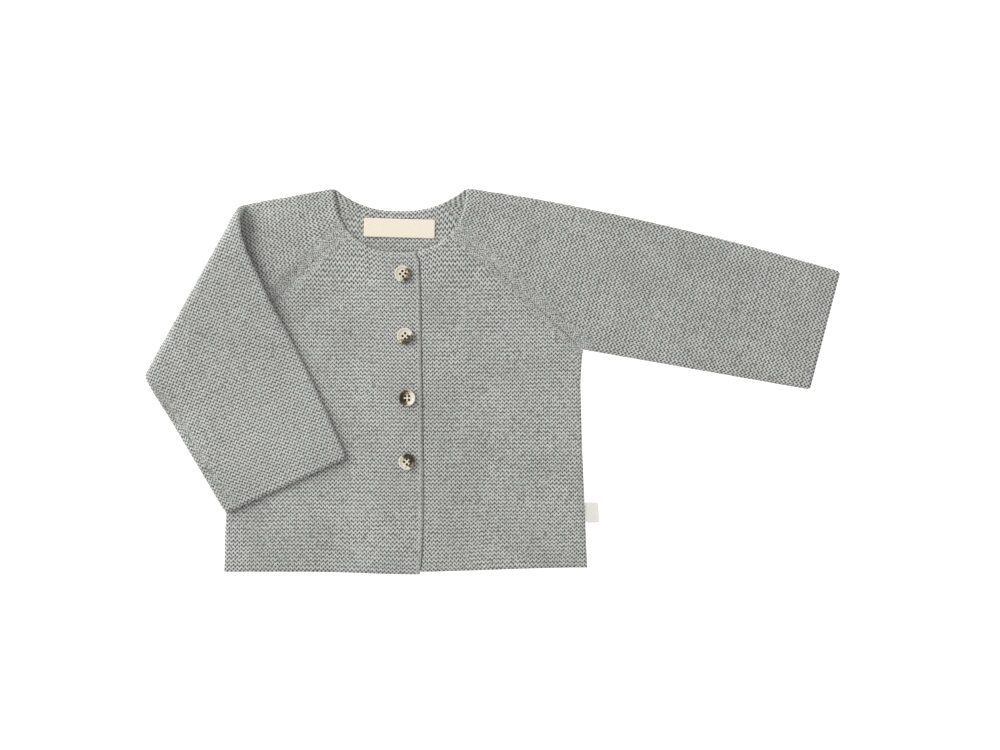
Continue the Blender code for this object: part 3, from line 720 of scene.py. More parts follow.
def panel_grid(courses, course_height, start, end):
    """Points and stitches of a panel cut between two edges, with each row's first and last column."""
    x, cut = cut_grid(start, end, np.zeros_like(start))
    course = np.repeat(courses[:, None], x.shape[1], 1)
    stitches = stacked(x / STITCH, course / RIDGE)
    y = course_height(x, course)
    from_ends = np.minimum(x - start[:, None], end[:, None] - x)
    calm = ease(from_ends / CALM_EDGE) * ease(course / CALM_EDGE)
    calm = calm * ease((courses[-1] - course) / CALM_EDGE)
    sway_x, sway_y = (swayed(x, y, wanders) for wanders in PANEL_WANDERS)
    return x + calm * sway_x, y + calm * sway_y, from_ends, cut, stitches


def front_panel(side, material):
    """A front, from its hem to the neck and from its placket to the side seam and the raglan."""
    base, free_edge, is_covered, rests_on = FRONTS[side]
    courses = course_rows(FRONT_COURSES_TOP)
    top = FRONT_RAGLAN_TOP[side]
    outward = 1.0 if side == "left" else -1.0

    def course_height(x, course):
        return front_course(x, course, side)

    def outer_edge(y):
        share = np.clip((y - UNDERARM_HEIGHT) / (top.y - UNDERARM_HEIGHT), 0.0, 1.0)
        closing = mix(SEAM_CLOSING_UNDERARM, SEAM_CLOSING, share)
        above_underarm = ease((y - UNDERARM_HEIGHT) / SEAM_CLOSING_START + 1.0)
        return panel_edge(side, y, top) + outward * closing * above_underarm

    at_neck = NECK_CENTRE + outward * front_neck_reach(courses + NECK_BEND)
    inner = np.where(courses <= NECK_BOTTOM, free_edge(courses), at_neck)
    outer = met_by(courses, course_height, outer_edge)
    start, end = (outer, inner) if side == "right" else (inner, outer)
    x, y, from_ends, cut, stitches = panel_grid(courses, course_height, start, end)
    seam = from_segment(x, y, underarm_point(side), top)
    band = seam_band(seam, SEAM_BAND)
    shift_x, shift_y = crowded(x, y, band * ease(from_ends / EDGE_ROLL))
    x, y = x + shift_x, y + shift_y
    from_side = np.abs(x - outer_edge(y))
    from_placket, from_neck = np.abs(x - free_edge(y)), below_front_neck(x, y)
    at_placket = from_placket < from_neck
    past_chain = np.minimum(from_placket, from_neck) - SELVEDGE_WIDTH
    edging = 1.0 - ease((past_chain + SELVEDGE_END_START) / SELVEDGE_END)
    chain = np.where(at_placket, selvedge_relief(y, from_placket), selvedge_relief(x, from_neck))
    relief = mix(knit_relief(stitches), seam_relief(x, y), band)
    relief = mix(relief, chain, edging * np.where(at_placket, 1.0, NECK_CHAIN_RELIEF))
    low = base(x) + swell(x, y) * ease(from_side / SEAM_CALM)
    low = low + NECK_EDGE_LIFT * (1.0 - ease(from_neck / NECK_EDGE_LIFT_REACH))
    low = low + (placket_dome(x, y) if side == "right" else beside_band(x, y))
    dropped = np.maximum(side_rounding(y, from_side), edge_roll(y - hem_height(x, side)))
    high = low + WALL - dropped + relief - seam_ditch(x, y, seam) - hidden_drop(x, y, side)
    outside = stacked(x, y, np.maximum(high, low + SEAM_EDGE))
    fine = in_blocks(~is_covered(x, y), *cut)
    # The selvedge share paints the chain lighter: its pits lose their painted shade in the yarn's colour.
    shares = (("seam", band), ("selvedge", edging * np.where(at_placket, 1.0, NECK_CHAIN_PAINTED_LIGHTENING)))
    plain = np.zeros_like(fine)
    name = f"front_{side}_knit"
    made = cloth_piece(name, outside, stacked(x, y, low), cut, fine, plain, stitches, material, shares)
    return as_sheet(made, cut)


def back_panel(material):
    """The back, which is plain wherever the fronts and the sleeves hide it."""
    courses = course_rows(BACK_NECK_BOTTOM)

    def edge(side, y):
        return panel_edge(side, y, BACK_RAGLAN_TOP[side])

    def met_edge(side):
        def closed_edge(y):
            above_underarm = ease((y - UNDERARM_HEIGHT) / BACK_SEAM_CLOSING_REACH)
            return edge(side, y) + BACK_SEAM_CLOSING[side] * above_underarm

        return met_by(courses, back_course, closed_edge)

    x, y, _, cut, stitches = panel_grid(courses, back_course, met_edge("right"), met_edge("left"))
    below, beside = SHOWN_BACK
    shows = (y > NECK_BOTTOM - below) & (np.abs(x - NECK_CENTRE) < NECK_HALF_WIDTH + beside)
    fine = in_blocks(shows, *cut)
    seams = [from_segment(x, y, underarm_point(side), top) for side, top in BACK_RAGLAN_TOP.items()]
    ridge = back_seam_ridge(np.minimum(*seams))
    rounded = side_rounding(y, np.minimum(x - edge("right", y), edge("left", y) - x))
    free = np.minimum(y - hem_height(x, "left"), np.maximum(back_neck_height(x) - y, 0.0))
    high = WALL - edge_roll(free) + (knit_relief(stitches) + ridge - RIDGE_SUNK) * fine
    outside, inside = stacked(x, y, high), stacked(x, y, rounded)
    made = cloth_piece("back_knit", outside, inside, cut, fine, np.zeros_like(fine), stitches, material)
    return as_sheet(made, cut)


# ---- sleeves ---------------------------------------------------------------------------------
# A sleeve is drawn in its own flat plane, by its distance from the cuff and its distance down from
# the cuff's top corner. The cloth is one sheet that turns round the sleeve's top fold and meets
# itself along the underarm. A lay then puts each place of the plane and height of the cloth in
# the garment.
Edge = namedtuple("Edge", "distances drops")  # down the sleeve's length, and across it
SleeveCut = namedtuple("SleeveCut", "cuff_corner along across top edges necks underarm")
HalfEdge = namedtuple("HalfEdge", "drop radius bend fade")
SleeveGrid = namedtuple("SleeveGrid", "distances top halves run stitches from_ends limits")
UNDERARM_TURN = 10.0
EDGE_SHARE = 0.2  # share of a sleeve's width in which its swells die down
NECK_CURVE_SPREAD = 1.6  # how much closer the neck's points lie by the shoulder
NECK_REACH_INSET = 0.5  # below the neck's top, past which its edge comes no nearer
NECK_GAPE = 1.3
NECK_GAPE_WIDTH = 7.0
NECK_GAPE_START = 248.0
NECK_GAPE_END = 272.0
NECK_GAPE_FADE = 12.0
NECK_FADES = {"front": 30.0, "back": 60.0}
NECK_CURVE_POINTS = 24
TOP_EDGE_POINTS = 60
QUARTER_TURN = 1.53  # a little short of a right angle, so the two edges stay apart
SHARP = 0.01  # a smaller radius makes no turn
INSIDE_SUNK = 0.2


def neck_curve(side, raglan_top, height):
    """Places along the neck from the shoulder point to the raglan's top."""
    shoulder_x = NECK_CENTRE + (NECK_HALF_WIDTH if side == "left" else -NECK_HALF_WIDTH)
    x = mix(shoulder_x, raglan_top.x, np.linspace(0.0, 1.0, NECK_CURVE_POINTS) ** NECK_CURVE_SPREAD)
    return stacked(x, height(x))


def sleeve_cut(side, to_plane, cuff_top, cuff_under, top_edge, underarm_edge):
    """A sleeve's outline in its own plane. The edges are places in that plane."""
    across = unit(cuff_under - cuff_top)
    along = np.array((across[1], -across[0]))
    curves = {
        "front": to_plane(neck_curve(side, FRONT_RAGLAN_TOP[side], front_neck_height)),
        "back": to_plane(neck_curve(side, BACK_RAGLAN_TOP[side], back_neck_height)),
    }
    if (cuff_top - curves["front"][0]) @ along < 0.0:
        along = -along

    def measured(places):
        places = np.asarray(places) - cuff_top
        return Edge(places @ along, places @ across)

    underarm = to_plane(np.array([underarm_point(side)]))
    edges, necks = {}, {}
    for half, curve in curves.items():
        edges[half] = measured(np.concatenate((curve[-1:], underarm, underarm_edge)))
        necks[half] = measured(curve)
    underarm_distance = measured(underarm).distances[0]
    return SleeveCut(cuff_top, along, across, measured(top_edge), edges, necks, underarm_distance)


def turned(run, top, edge, edge_radius, stand):
    """Distance across and height of the cloth, run being measured round from the top fold."""
    flat_start = HALF * math.pi / 2
    length = edge - top - HALF - edge_radius + flat_start + edge_radius * math.pi / 2
    start_turn = run / HALF
    end_turn = np.clip((run - length) / np.maximum(edge_radius, SHARP) + math.pi / 2, 0.0, QUARTER_TURN)
    end_turn = np.where(edge_radius > SHARP, end_turn, 0.0)
    in_start = run < flat_start
    in_end = ~in_start & (end_turn > 0.0)
    across = np.where(in_start, -(HALF + stand) * np.cos(start_turn), run - flat_start) + top + HALF
    across = np.where(in_end, edge - edge_radius + (edge_radius + stand) * np.sin(end_turn), across)
    height = np.where(in_start, HALF + (HALF + stand) * np.sin(start_turn), TWO_LAYERS + stand)
    turned_height = TWO_LAYERS - edge_radius + (edge_radius + stand) * np.cos(end_turn)
    return across, np.where(in_end, turned_height, height)


def half_edge(cut, half, distances):
    """Where each course ends on one half of the sleeve, and how its run bends toward the neck."""
    edge, neck = cut.edges[half], cut.necks[half]
    fade = 1.0 - ease((distances - distances[0]) / NECK_FADES[half])

    def bend(drop):
        return np.interp(drop, neck.drops, neck.distances - neck.distances[0])

    drop = np.interp(distances, edge.distances, edge.drops)
    for _ in range(MEETING_ROUNDS):
        drop = np.interp(distances + bend(drop) * fade, edge.distances, edge.drops)
    radius = HALF * ease((distances + bend(drop) * fade - cut.underarm) / UNDERARM_TURN)
    return HalfEdge(drop, radius, bend, fade)


def sleeve_grid(cut, drift_side):
    """The sleeve's stitches, each with its run round from the top fold: above 0 in front of it."""
    neck_distance = cut.necks["front"].distances[0]
    rows = round(-neck_distance / ROW) + 1
    distances = np.linspace(neck_distance, 0.0, rows)
    top = np.interp(distances, cut.top.distances, cut.top.drops)
    drift = (top - np.linspace(top[0], top[-1], rows)) * drift_side(distances)
    halves = {1: half_edge(cut, "front", distances), -1: half_edge(cut, "back", distances)}

    def run_end(half):
        edge, radius = halves[half].drop, halves[half].radius
        return half * (edge - top - HALF - radius + (HALF + radius) * math.pi / 2)

    start, end = run_end(-1), run_end(1)
    run, limits = cut_grid(start, end, drift)
    ridge = np.repeat((distances / RIDGE)[:, None], run.shape[1], 1)
    stitches = stacked((run + drift[:, None]) / STITCH, ridge)
    from_ends = np.minimum(run - start[:, None], end[:, None] - run)
    return SleeveGrid(distances, top, halves, run, stitches, from_ends, limits)


def placed(cut, grid, stand):
    """Where the cloth lies in the sleeve's plane, its height and its share of the way from the top fold.

    stand is how far each point stands over the wall's outer face.
    """
    drop, height, distance, share = (np.empty_like(grid.run) for _ in range(4))
    top = grid.top[:, None]
    for half, (edge, radius, bend, fade) in grid.halves.items():
        here = grid.run * half >= 0.0
        across, up = turned(np.abs(grid.run), top, edge[:, None], radius[:, None], stand)
        drop = np.where(here, across, drop)
        height = np.where(here, up if half == 1 else TWO_LAYERS - up, height)
        distance = np.where(here, grid.distances[:, None] + bend(across) * fade[:, None], distance)
        share = np.where(here, (across - top) / (edge[:, None] - top), share)
    plane = cut.cuff_corner + distance[..., None] * cut.along + drop[..., None] * cut.across
    return plane, height, np.clip(share, 0.0, 1.0)


def sleeve_seams(side, grid, plane, x, y):
    """How much the seams crowd the sleeve's stitches, and the crease along them."""
    flat = plane_is_lower(side, plane)
    raglan = from_segment(x, y, underarm_point(side), FRONT_RAGLAN_TOP[side])
    raglan = np.where((grid.run > 0.0) & flat, raglan, NO_SEAM_NEAR)
    underarm = np.where((grid.run < 0.0) & ~flat, from_segment(x, y, *UNDERARM_SEAM), NO_SEAM_NEAR)
    underarm_band = UNDERARM_SEAM_CROWDING * seam_band(underarm, UNDERARM_SEAM_BAND)
    ditch = seam_ditch(x, y, raglan) + UNDERARM_SEAM_DITCH * seam_ditch(x, y, underarm)
    return np.maximum(seam_band(raglan, SLEEVE_SEAM_BAND), underarm_band), ditch


def sleeve(side, cut, drift_side, lay, fine_where, material):
    """A sleeve. drift_side says which way its stitches go on past the top edge, for each course."""
    grid = sleeve_grid(cut, drift_side)
    run, distances, stitches, limits = grid.run, grid.distances, grid.stitches, grid.limits
    face = knit_relief(stitches)
    plane, height, share = placed(cut, grid, np.zeros_like(run))
    rest = lay(plane, height, share)
    x, y = rest[..., 0], rest[..., 1]
    fine_outer, fine_inner = (in_blocks(fine, *limits) for fine in fine_where(rest, plane, run))
    band, ditch = sleeve_seams(side, grid, plane, x, y)
    rolled = np.maximum(edge_roll(-distances), edge_roll(distances - distances[0]))[:, None]
    stand = mix(face, seam_relief(x, y), band) - ditch
    plane, height, share = placed(cut, grid, np.where(fine_outer, stand, 0.0) - rolled)
    calm = ease(grid.from_ends / CALM_EDGE) * ease((np.abs(run) - HALF) / TOP_FOLD_CALM)
    calm = calm * (ease(-distances / CALM_EDGE) * ease((distances - distances[0]) / CALM_EDGE))[:, None]
    sways = [swayed(stitches[..., 0], stitches[..., 1], wanders) for wanders in SLEEVE_WANDERS]
    shifts = crowded(x, y, band * ease(grid.from_ends / EDGE_ROLL))
    plane = plane + stacked(*(calm * sway + shift for sway, shift in zip(sways, shifts)))
    outside = lay(plane, height, share)
    outside[..., 2] = np.maximum(outside[..., 2], 0.0)
    ridge = back_seam_ridge(from_segment(x, y, underarm_point(side), BACK_RAGLAN_TOP[side]))
    inside = lay(*placed(cut, grid, -WALL - (face - INSIDE_SUNK + ridge) * fine_inner))
    name, shares = f"sleeve_{side}_knit", (("seam", band),)
    made = cloth_piece(name, outside, inside, limits, fine_outer, fine_inner, stitches, material, shares)
    return as_sheet(made, limits)


def straight_line(start, end, count):
    return mix(start[None, :], end[None, :], np.linspace(0.0, 1.0, count)[:, None])


def plane_is_lower(side, plane):
    """Where a sleeve's plane lies flat beside the body, short of any fold."""
    return np.full(plane.shape[:-1], True) if side == "left" else plane[..., 0] < 0.0


def lift_upper_half(x, y, height, share):
    """Height of a sleeve that lies flat, its upper half raised by the swells and the neck's gape."""
    inside = ease(np.minimum(share, 1.0 - share) / EDGE_SHARE) * (height > HALF)
    beside_neck = front_neck_reach(np.minimum(y, NECK_TOP - NECK_REACH_INSET))
    from_neck = np.abs(np.abs(x - NECK_CENTRE) - beside_neck)
    opening = ease((y - NECK_GAPE_START) / NECK_GAPE_FADE)
    closing = 1.0 - ease((y - NECK_GAPE_END) / NECK_GAPE_FADE)
    gape = NECK_GAPE * hump(from_neck, NECK_GAPE_WIDTH) * opening * closing
    return height + (swell(x, y) + gape) * inside


LOWER_NECK = 245.0  # the back of the neck shows above here
LEFT_NECK_SHOWS = 56.0
RIGHT_NECK_SHOWS = -61.0
TURN_RUN = HALF * math.pi / 2 + COLUMN  # run of the top fold's turn


def left_sleeve(material):
    shoulder = np.array((NECK_CENTRE + NECK_HALF_WIDTH, NECK_TOP))
    cuff_top, cuff_under = np.array(LEFT_CUFF["top"]), np.array(LEFT_CUFF["under"])
    run = unit(cuff_top - shoulder)
    skewed = np.linspace(0.0, 1.0, TOP_EDGE_POINTS) ** SLEEVE_TOP_SKEW
    bulge = SLEEVE_TOP_BULGE * 4.0 * skewed * (1.0 - skewed)
    outward = np.array((-run[1], run[0]))
    top_edge = straight_line(shoulder, cuff_top, TOP_EDGE_POINTS) + bulge[:, None] * outward
    cut = sleeve_cut("left", lambda places: places, cuff_top, cuff_under, top_edge, [cuff_under])

    def lay(plane, height, share):
        x, y = plane[..., 0], plane[..., 1]
        return stacked(x, y, lift_upper_half(x, y, height, share))

    def fine_where(rest, _, run):
        near_neck = (rest[..., 1] > LOWER_NECK) & (rest[..., 0] < LEFT_NECK_SHOWS) & (run < 0.0)
        return run > -TURN_RUN, near_neck

    return sleeve("left", cut, np.ones_like, lay, fine_where, material)


FOLD_UP = np.array((math.cos(FOLD_TURN), math.sin(FOLD_TURN)))
FOLD_OUT = np.array((-math.sin(FOLD_TURN), math.cos(FOLD_TURN)))
FOLD_RADIUS = TWO_LAYERS + FOLD_CLEAR / 2
FOLD_FOOT = FOLD_OUT * (FOLD_EDGE - FOLD_RADIUS)
FOLD_LENGTH = math.pi * FOLD_RADIUS  # cloth that goes round the fold's outside
FOLD_TOP = FOLD_FOOT + FOLD_UP * FOLD_TOP_ALONG
FOLD_UNDER = FOLD_FOOT + FOLD_UP * FOLD_UNDER_ALONG
TURNED_BACK_TOP = FOLD_TOP - FOLD_UP * FOLD_SLIP_TOP
TURNED_BACK_UNDER = FOLD_UNDER - FOLD_UP * FOLD_SLIP_UNDER
FOLDED_REST = TWO_LAYERS + 2 * GAP
CUFF_TOP, CUFF_UNDER = (np.array(corner) for corner in RIGHT_CUFF.values())
FREE_RUN = unit(CUFF_TOP - TURNED_BACK_TOP)
FREE_OUT = np.array((-FREE_RUN[1], FREE_RUN[0]))  # square to the folded sleeve's free edge
LIFT_FALL_START = 0.05  # share of the way from the fold to the cuff
LIFT_FALL = 0.5
FOLDED_SWELL_START = 0.1
RAISED_POWER = 4  # how firmly the higher of the lift and the swells wins
BOW_EVENING = 7  # points over which the bow's corners are evened out
DRIFT_TURN = 20.0
FLAT_FADE = 25.0  # the flat part's own swells die down toward the fold
FINE_PAST_FOLD = 4.0  # how far a face stays fine past the fold's start
FINE_INSIDE = 14.0  # and inside the turned-back part's free edge
FREE_EDGE_INSET = 22.0  # how far inside its edges that part covers what is under it
CUFF_INSET = 8.0


def fold_plane(places):
    """The right sleeve's plane: distance out past the fold's start, and distance up the fold."""
    places = np.asarray(places, float) - FOLD_FOOT
    return stacked(places @ FOLD_OUT, places @ FOLD_UP)


def turned_back_plane(places):
    """The same plane for a place on the part that lies back over the front."""
    plane = fold_plane(places)
    return stacked(FOLD_LENGTH - plane[..., 0], plane[..., 1])


def off_support(x, y):
    """How far a place lies off the body and off the lower part of the sleeve."""
    off_body = side_edge("right", np.minimum(y, UNDERARM_HEIGHT)) - x
    underarm = underarm_point("right")
    edge = unit(FOLD_UNDER - np.array(underarm))
    off_sleeve = (x - underarm.x) * -edge[1] + (y - underarm.y) * edge[0]
    return np.maximum(np.minimum(off_body, off_sleeve), 0.0)


def fold_lift(share):
    """How much higher the roll of the fold stands toward its top end."""
    return FOLDED_EDGE_LIFT * (1.0 - share) ** 2


def folded_base(x, y, along, share):
    """Underside of the part that lies back over the front."""
    settled = ease(along / FOLD_SETTLE)
    settling = (TWO_LAYERS + FOLD_CLEAR - FOLDED_REST) * (1.0 - settled)
    sag = FOLDED_REST * ease(off_support(x, y) / SAG_REACH) * settled
    lift = fold_lift(share) * (1.0 - ease((along - LIFT_FALL_START) / LIFT_FALL))
    swollen = swell(x, y) * ease(along / FOLDED_SWELL_START)
    raised = (lift**RAISED_POWER + swollen**RAISED_POWER) ** (1.0 / RAISED_POWER)
    return FOLDED_REST + settling - sag + raised


FOLDED_LENGTHS = [float(turned_back_plane(corner)[0]) - FOLD_LENGTH for corner in (CUFF_TOP, CUFF_UNDER)]


def lay_folded(plane, height, share):
    """Puts the right sleeve's plane in the garment: flat, round the fold and back over the front."""
    out, up = plane[..., 0], plane[..., 1]
    turn = math.pi * np.clip(out / FOLD_LENGTH, 0.0, 1.0)
    radius = FOLD_RADIUS - height
    past = np.maximum(out - FOLD_LENGTH, 0.0)
    sideways = np.minimum(out, 0.0) + radius * np.sin(turn) - past
    places = FOLD_FOOT + sideways[..., None] * FOLD_OUT + up[..., None] * FOLD_UP
    x, y = places[..., 0], places[..., 1]
    along = np.clip(past / mix(*FOLDED_LENGTHS, share), 0.0, 1.0)
    over = folded_base(x, y, along, share) + TWO_LAYERS - height
    bent = FOLD_RADIUS - radius * np.cos(turn) + fold_lift(share) * (1.0 - np.cos(turn)) / 2
    flat = mix(height, lift_upper_half(x, y, height, share), ease(-out / FLAT_FADE))
    return stacked(x, y, np.where(out > FOLD_LENGTH, over, np.where(out > 0.0, bent, flat)))


def right_sleeve(material):
    shoulder = np.array((NECK_CENTRE - NECK_HALF_WIDTH, NECK_TOP))
    bow = np.interp(np.linspace(0.0, 1.0, TOP_EDGE_POINTS), *zip(*FOLDED_EDGE_BOW))
    evening = np.full(BOW_EVENING, 1 / BOW_EVENING)
    bow = np.convolve(np.pad(bow, BOW_EVENING // 2, "edge"), evening, "valid")
    free_edge = straight_line(TURNED_BACK_TOP, CUFF_TOP, TOP_EDGE_POINTS) - bow[:, None] * FREE_OUT
    top_edge = np.concatenate((fold_plane([shoulder, FOLD_TOP]), turned_back_plane(free_edge)))
    turned_back_edge = turned_back_plane([TURNED_BACK_UNDER, CUFF_UNDER])
    under_edge = np.concatenate((fold_plane([FOLD_UNDER]), turned_back_edge))
    cuff = [turned_back_plane(corner) for corner in (CUFF_TOP, CUFF_UNDER)]
    cut = sleeve_cut("right", fold_plane, *cuff, top_edge, under_edge)

    def fine_where(rest, plane, run):
        lower = plane[..., 0] < FINE_PAST_FOLD
        turned_back = plane[..., 0] >= -FINE_PAST_FOLD
        above_fold = (rest[..., :2] - TURNED_BACK_TOP) @ FREE_OUT > -FINE_INSIDE
        near_neck = (rest[..., 1] > LOWER_NECK) & (rest[..., 0] > RIGHT_NECK_SHOWS) & (run < 0.0) & lower
        outer = np.where(run > 0.0, (lower & above_fold) | (run < TURN_RUN), turned_back)
        return outer | (np.abs(run) < TURN_RUN), near_neck

    def drift_side(distances):
        fold_distance = float((fold_plane(FOLD_TOP) - cut.cuff_corner) @ cut.along)
        return 1.0 - 2.0 * ease((distances - fold_distance) / DRIFT_TURN)

    return sleeve("right", cut, drift_side, lay_folded, fine_where, material)


def under_folded_sleeve(x, y):
    """Where the folded sleeve covers the right front, well inside its free edge and its cuff."""
    places = stacked(x, y)
    covered = np.ones(x.shape, bool)
    free_edge, cuff = (TURNED_BACK_TOP, CUFF_TOP), (CUFF_TOP, CUFF_UNDER)
    for (start, end), inset in ((free_edge, FREE_EDGE_INSET), (cuff, CUFF_INSET)):
        run = unit(end - start)
        covered &= (places - start) @ np.array((run[1], -run[0])) > inset
    return covered


Front = namedtuple("Front", "base free_edge is_covered rests_on")
FRONTS = {
    "right": Front(right_front_base, overlap_edge, under_folded_sleeve, ["back_knit", "front_left_knit"]),
    "left": Front(left_front_base, left_placket, under_right_front, ["back_knit"]),
}


# ---- materials -------------------------------------------------------------------------------
class Wire:
    """A value that runs through a material's nodes. Arithmetic with it adds math nodes."""

    def __init__(self, socket):
        self.socket = socket
        self.tree = socket.id_data

    def through(self, operation, *others):
        inputs = dict(enumerate((self, *others)))
        return new_node(self.tree, "ShaderNodeMath", inputs, operation=operation)

    def __add__(self, other):
        return self.through("ADD", other)

    def __sub__(self, other):
        return self.through("SUBTRACT", other)

    def __mul__(self, other):
        return self.through("MULTIPLY", other)

    def __truediv__(self, other):
        return self.through("DIVIDE", other)


def set_inputs(node, inputs):
    """Sets a node's inputs to numbers or colours, or wires them up."""
    for name, value in inputs.items():
        if isinstance(value, Wire):
            node.id_data.links.new(value.socket, node.inputs[name])
        else:
            node.inputs[name].default_value = value


def new_node(tree, kind, inputs, output=0, **settings):
    """A wire from one output of a new node with these settings and inputs."""
    node = tree.nodes.new(kind)
    for name, value in settings.items():
        setattr(node, name, value)
    set_inputs(node, inputs)
    return Wire(node.outputs[output])


def new_material(name, surface):
    """A material with its Principled shader, set to these values of its surface."""
    material = bpy.data.materials.new(name)
    material.use_nodes = True
    shader = material.node_tree.nodes["Principled BSDF"]
    set_inputs(shader, surface)
    return material, shader


def moved(vector, operation, amount):
    return new_node(vector.tree, "ShaderNodeVectorMath", {0: vector, 1: amount}, operation=operation)


def combined(x, y):
    return new_node(x.tree, "ShaderNodeCombineXYZ", {0: x, 1: y})


def parted(vector):
    node = vector.tree.nodes.new("ShaderNodeSeparateXYZ")
    set_inputs(node, {0: vector})
    return Wire(node.outputs[0]), Wire(node.outputs[1])


def turned_by(x, y, angle):
    """The two places along axes turned by this angle."""
    turn_cos, turn_sin = math.cos(angle), math.sin(angle)
    return x * turn_cos + y * turn_sin, y * turn_cos - x * turn_sin


def ranged(value, start, end, low=0.0, high=1.0):
    """The value moved smoothly from one range to another."""
    inputs = {"Value": value, "From Min": start, "From Max": end, "To Min": low, "To Max": high}
    return new_node(value.tree, "ShaderNodeMapRange", inputs, interpolation_type="SMOOTHSTEP")


def blended(share, first, second):
    """The first value where share is 0, the second where it is 1."""
    return first + (first * -1.0 + second) * share


def coloured(share, stops):
    """The colour at this share of a row of colours that run into each other."""
    node = share.tree.nodes.new("ShaderNodeValToRGB")
    elements = node.color_ramp.elements
    while len(elements) < len(stops):
        elements.new(0.5)
    for element, (position, colour) in zip(elements, stops):
        element.position = position
        element.color = (*colour, 1.0)
    set_inputs(node, {"Fac": share})
    return Wire(node.outputs["Color"])


def toned(colour, brightness):
    """A colour made lighter or darker by a value round 1."""
    return new_node(colour.tree, "ShaderNodeHueSaturation", {"Color": colour, "Value": brightness})


def bumped(height, distance, strength):
    inputs = {"Height": height, "Distance": distance * MM, "Strength": strength}
    return new_node(height.tree, "ShaderNodeBump", inputs)


def places_on(shader):
    """The place on the piece, in metres."""
    return new_node(shader.id_data, "ShaderNodeTexCoord", {}, output="Object")


def share_on(shader, name):
    """One of a cloth's shares."""
    return new_node(shader.id_data, "ShaderNodeAttribute", {}, output="Fac", attribute_name=name)


def noise_at(places, scale, detail=2.0):
    inputs = {"Vector": places, "Scale": scale, "Detail": detail}
    return new_node(places.tree, "ShaderNodeTexNoise", inputs, output="Fac")


# The yarn's colour from the pits to the strands' tops: the dark low end is painted shade in the pits
# between the strands, the top is the yarn's light grey.
YARN_TONES_WITH_PIT_SHADE = (
    (0.0, (0.010, 0.010, 0.009)),
    (0.45, (0.068, 0.070, 0.064)),
    (0.75, (0.225, 0.231, 0.217)),
    (1.0, (0.60, 0.61, 0.58)),
)
STRAND_EVENING = 0.8  # 1 would narrow a strand fully where it slopes
FIBRES = (3.0, 26.0, 1.0)  # fibres to a stitch, along the strand and across it
FIBRE_TONE = 0.35
FIBRE_RISE = 0.3
FLECK_SCALE = 700.0
FLECK_TONE = 0.9
TONE_SCALE = 26.0
TONE_NOISE = (0.3, 0.7)  # the noise's own range
TONE_RANGE = (0.94, 1.06)
YARN_DARKENING = 0.59
SELVEDGE_PAINTED_LIGHTENING = 0.42  # how far the chain's colour loses the painted pit shade and is painted as light as the strands' tops

SEAM_LEAN = math.radians(43.0)  # of the raglan seams
SEAM_STITCH = 2.1
SEAM_RIDGE = 1.9
SEAM_MUDDLE = 1.9  # how far noise pulls the small stitches about, in stitches
SEAM_PULL_SCALES = (230.0, 290.0)


def strands(stitch, ridge):
    """Height of wavy strands, 1 on top and 0 in the pits, and the distance from the nearest one."""
    turn = stitch * math.tau
    from_strand = ridge - turn.through("COSINE") * STRAND_WAVE
    slope = turn.through("SINE") * (STRAND_EVENING * math.tau * STRAND_WAVE)
    away = from_strand.through("PINGPONG", 0.5) / (slope * slope + 1.0).through("SQRT")
    return away * away * -4.0 + 1.0, from_strand


def crowded_strands(places):
    """Small tight stitches that follow the raglan seams, pulled about by them."""
    x, y = parted(moved(places, "MULTIPLY", (1.0 / MM,) * 3))
    across, along = turned_by(y, x.through("ABSOLUTE"), SEAM_LEAN)
    pulls = [noise_at(places, scale, 1.0) * SEAM_MUDDLE for scale in SEAM_PULL_SCALES]
    return strands(across * (1.0 / SEAM_STITCH) + pulls[0], along * (-1.0 / SEAM_RIDGE) + pulls[1])[0]


def knitted_yarn():
    """Grey wool with single fibres along its strands; the pits between the strands are painted dark as
    shade, the strands' tops keep the light grey of the yarn.
    """
    surface = {"Roughness": 0.9, "Specular IOR Level": 0.25, "Sheen Weight": 0.2, "Sheen Roughness": 0.5}
    material, shader = new_material("grey_wool_knit", surface)
    places = places_on(shader)
    stitch, ridge = parted(new_node(shader.id_data, "ShaderNodeUVMap", {}, uv_map="stitches"))
    raised, from_strand = strands(stitch, ridge)
    raised = blended(share_on(shader, "seam"), raised, crowded_strands(places))
    # On the chain the pits' painted shade gives way to the strands' light tone, which paints the chain
    # lighter; its bump flattens too.
    raised = blended(share_on(shader, "selvedge") * SELVEDGE_PAINTED_LIGHTENING, raised, 1.0)
    fibre = noise_at(moved(combined(stitch, from_strand), "MULTIPLY", FIBRES), 1.0, 3.0)
    fleck = noise_at(places, FLECK_SCALE)
    lit = raised + fibre * FIBRE_TONE + fleck * FLECK_TONE - YARN_DARKENING
    tone = ranged(noise_at(places, TONE_SCALE), *TONE_NOISE, *TONE_RANGE)
    relief = bumped(raised + fibre * FIBRE_RISE, distance=0.35, strength=0.7)
    # Base colour: the ramp paints shade into the pits.
    set_inputs(shader, {"Base Color": toned(coloured(lit, YARN_TONES_WITH_PIT_SHADE), tone), "Normal": relief})
    return material


CREAM_RIBBON = (0.92, 0.85, 0.69)
PALE_RIBBON = (0.94, 0.91, 0.86)
RIBBON_SHADE = 0.9
RIBBON_THREADS = 2200.0  # threads to a metre
RIBBON_WEAVE_TONE = 0.2
RIBBON_SLUB_SCALE = 300.0
RIBBON_SLUB_STRETCH = (1.0, 6.0, 1.0)
RIBBON_TONE_STOPS = (0.2, 0.75)


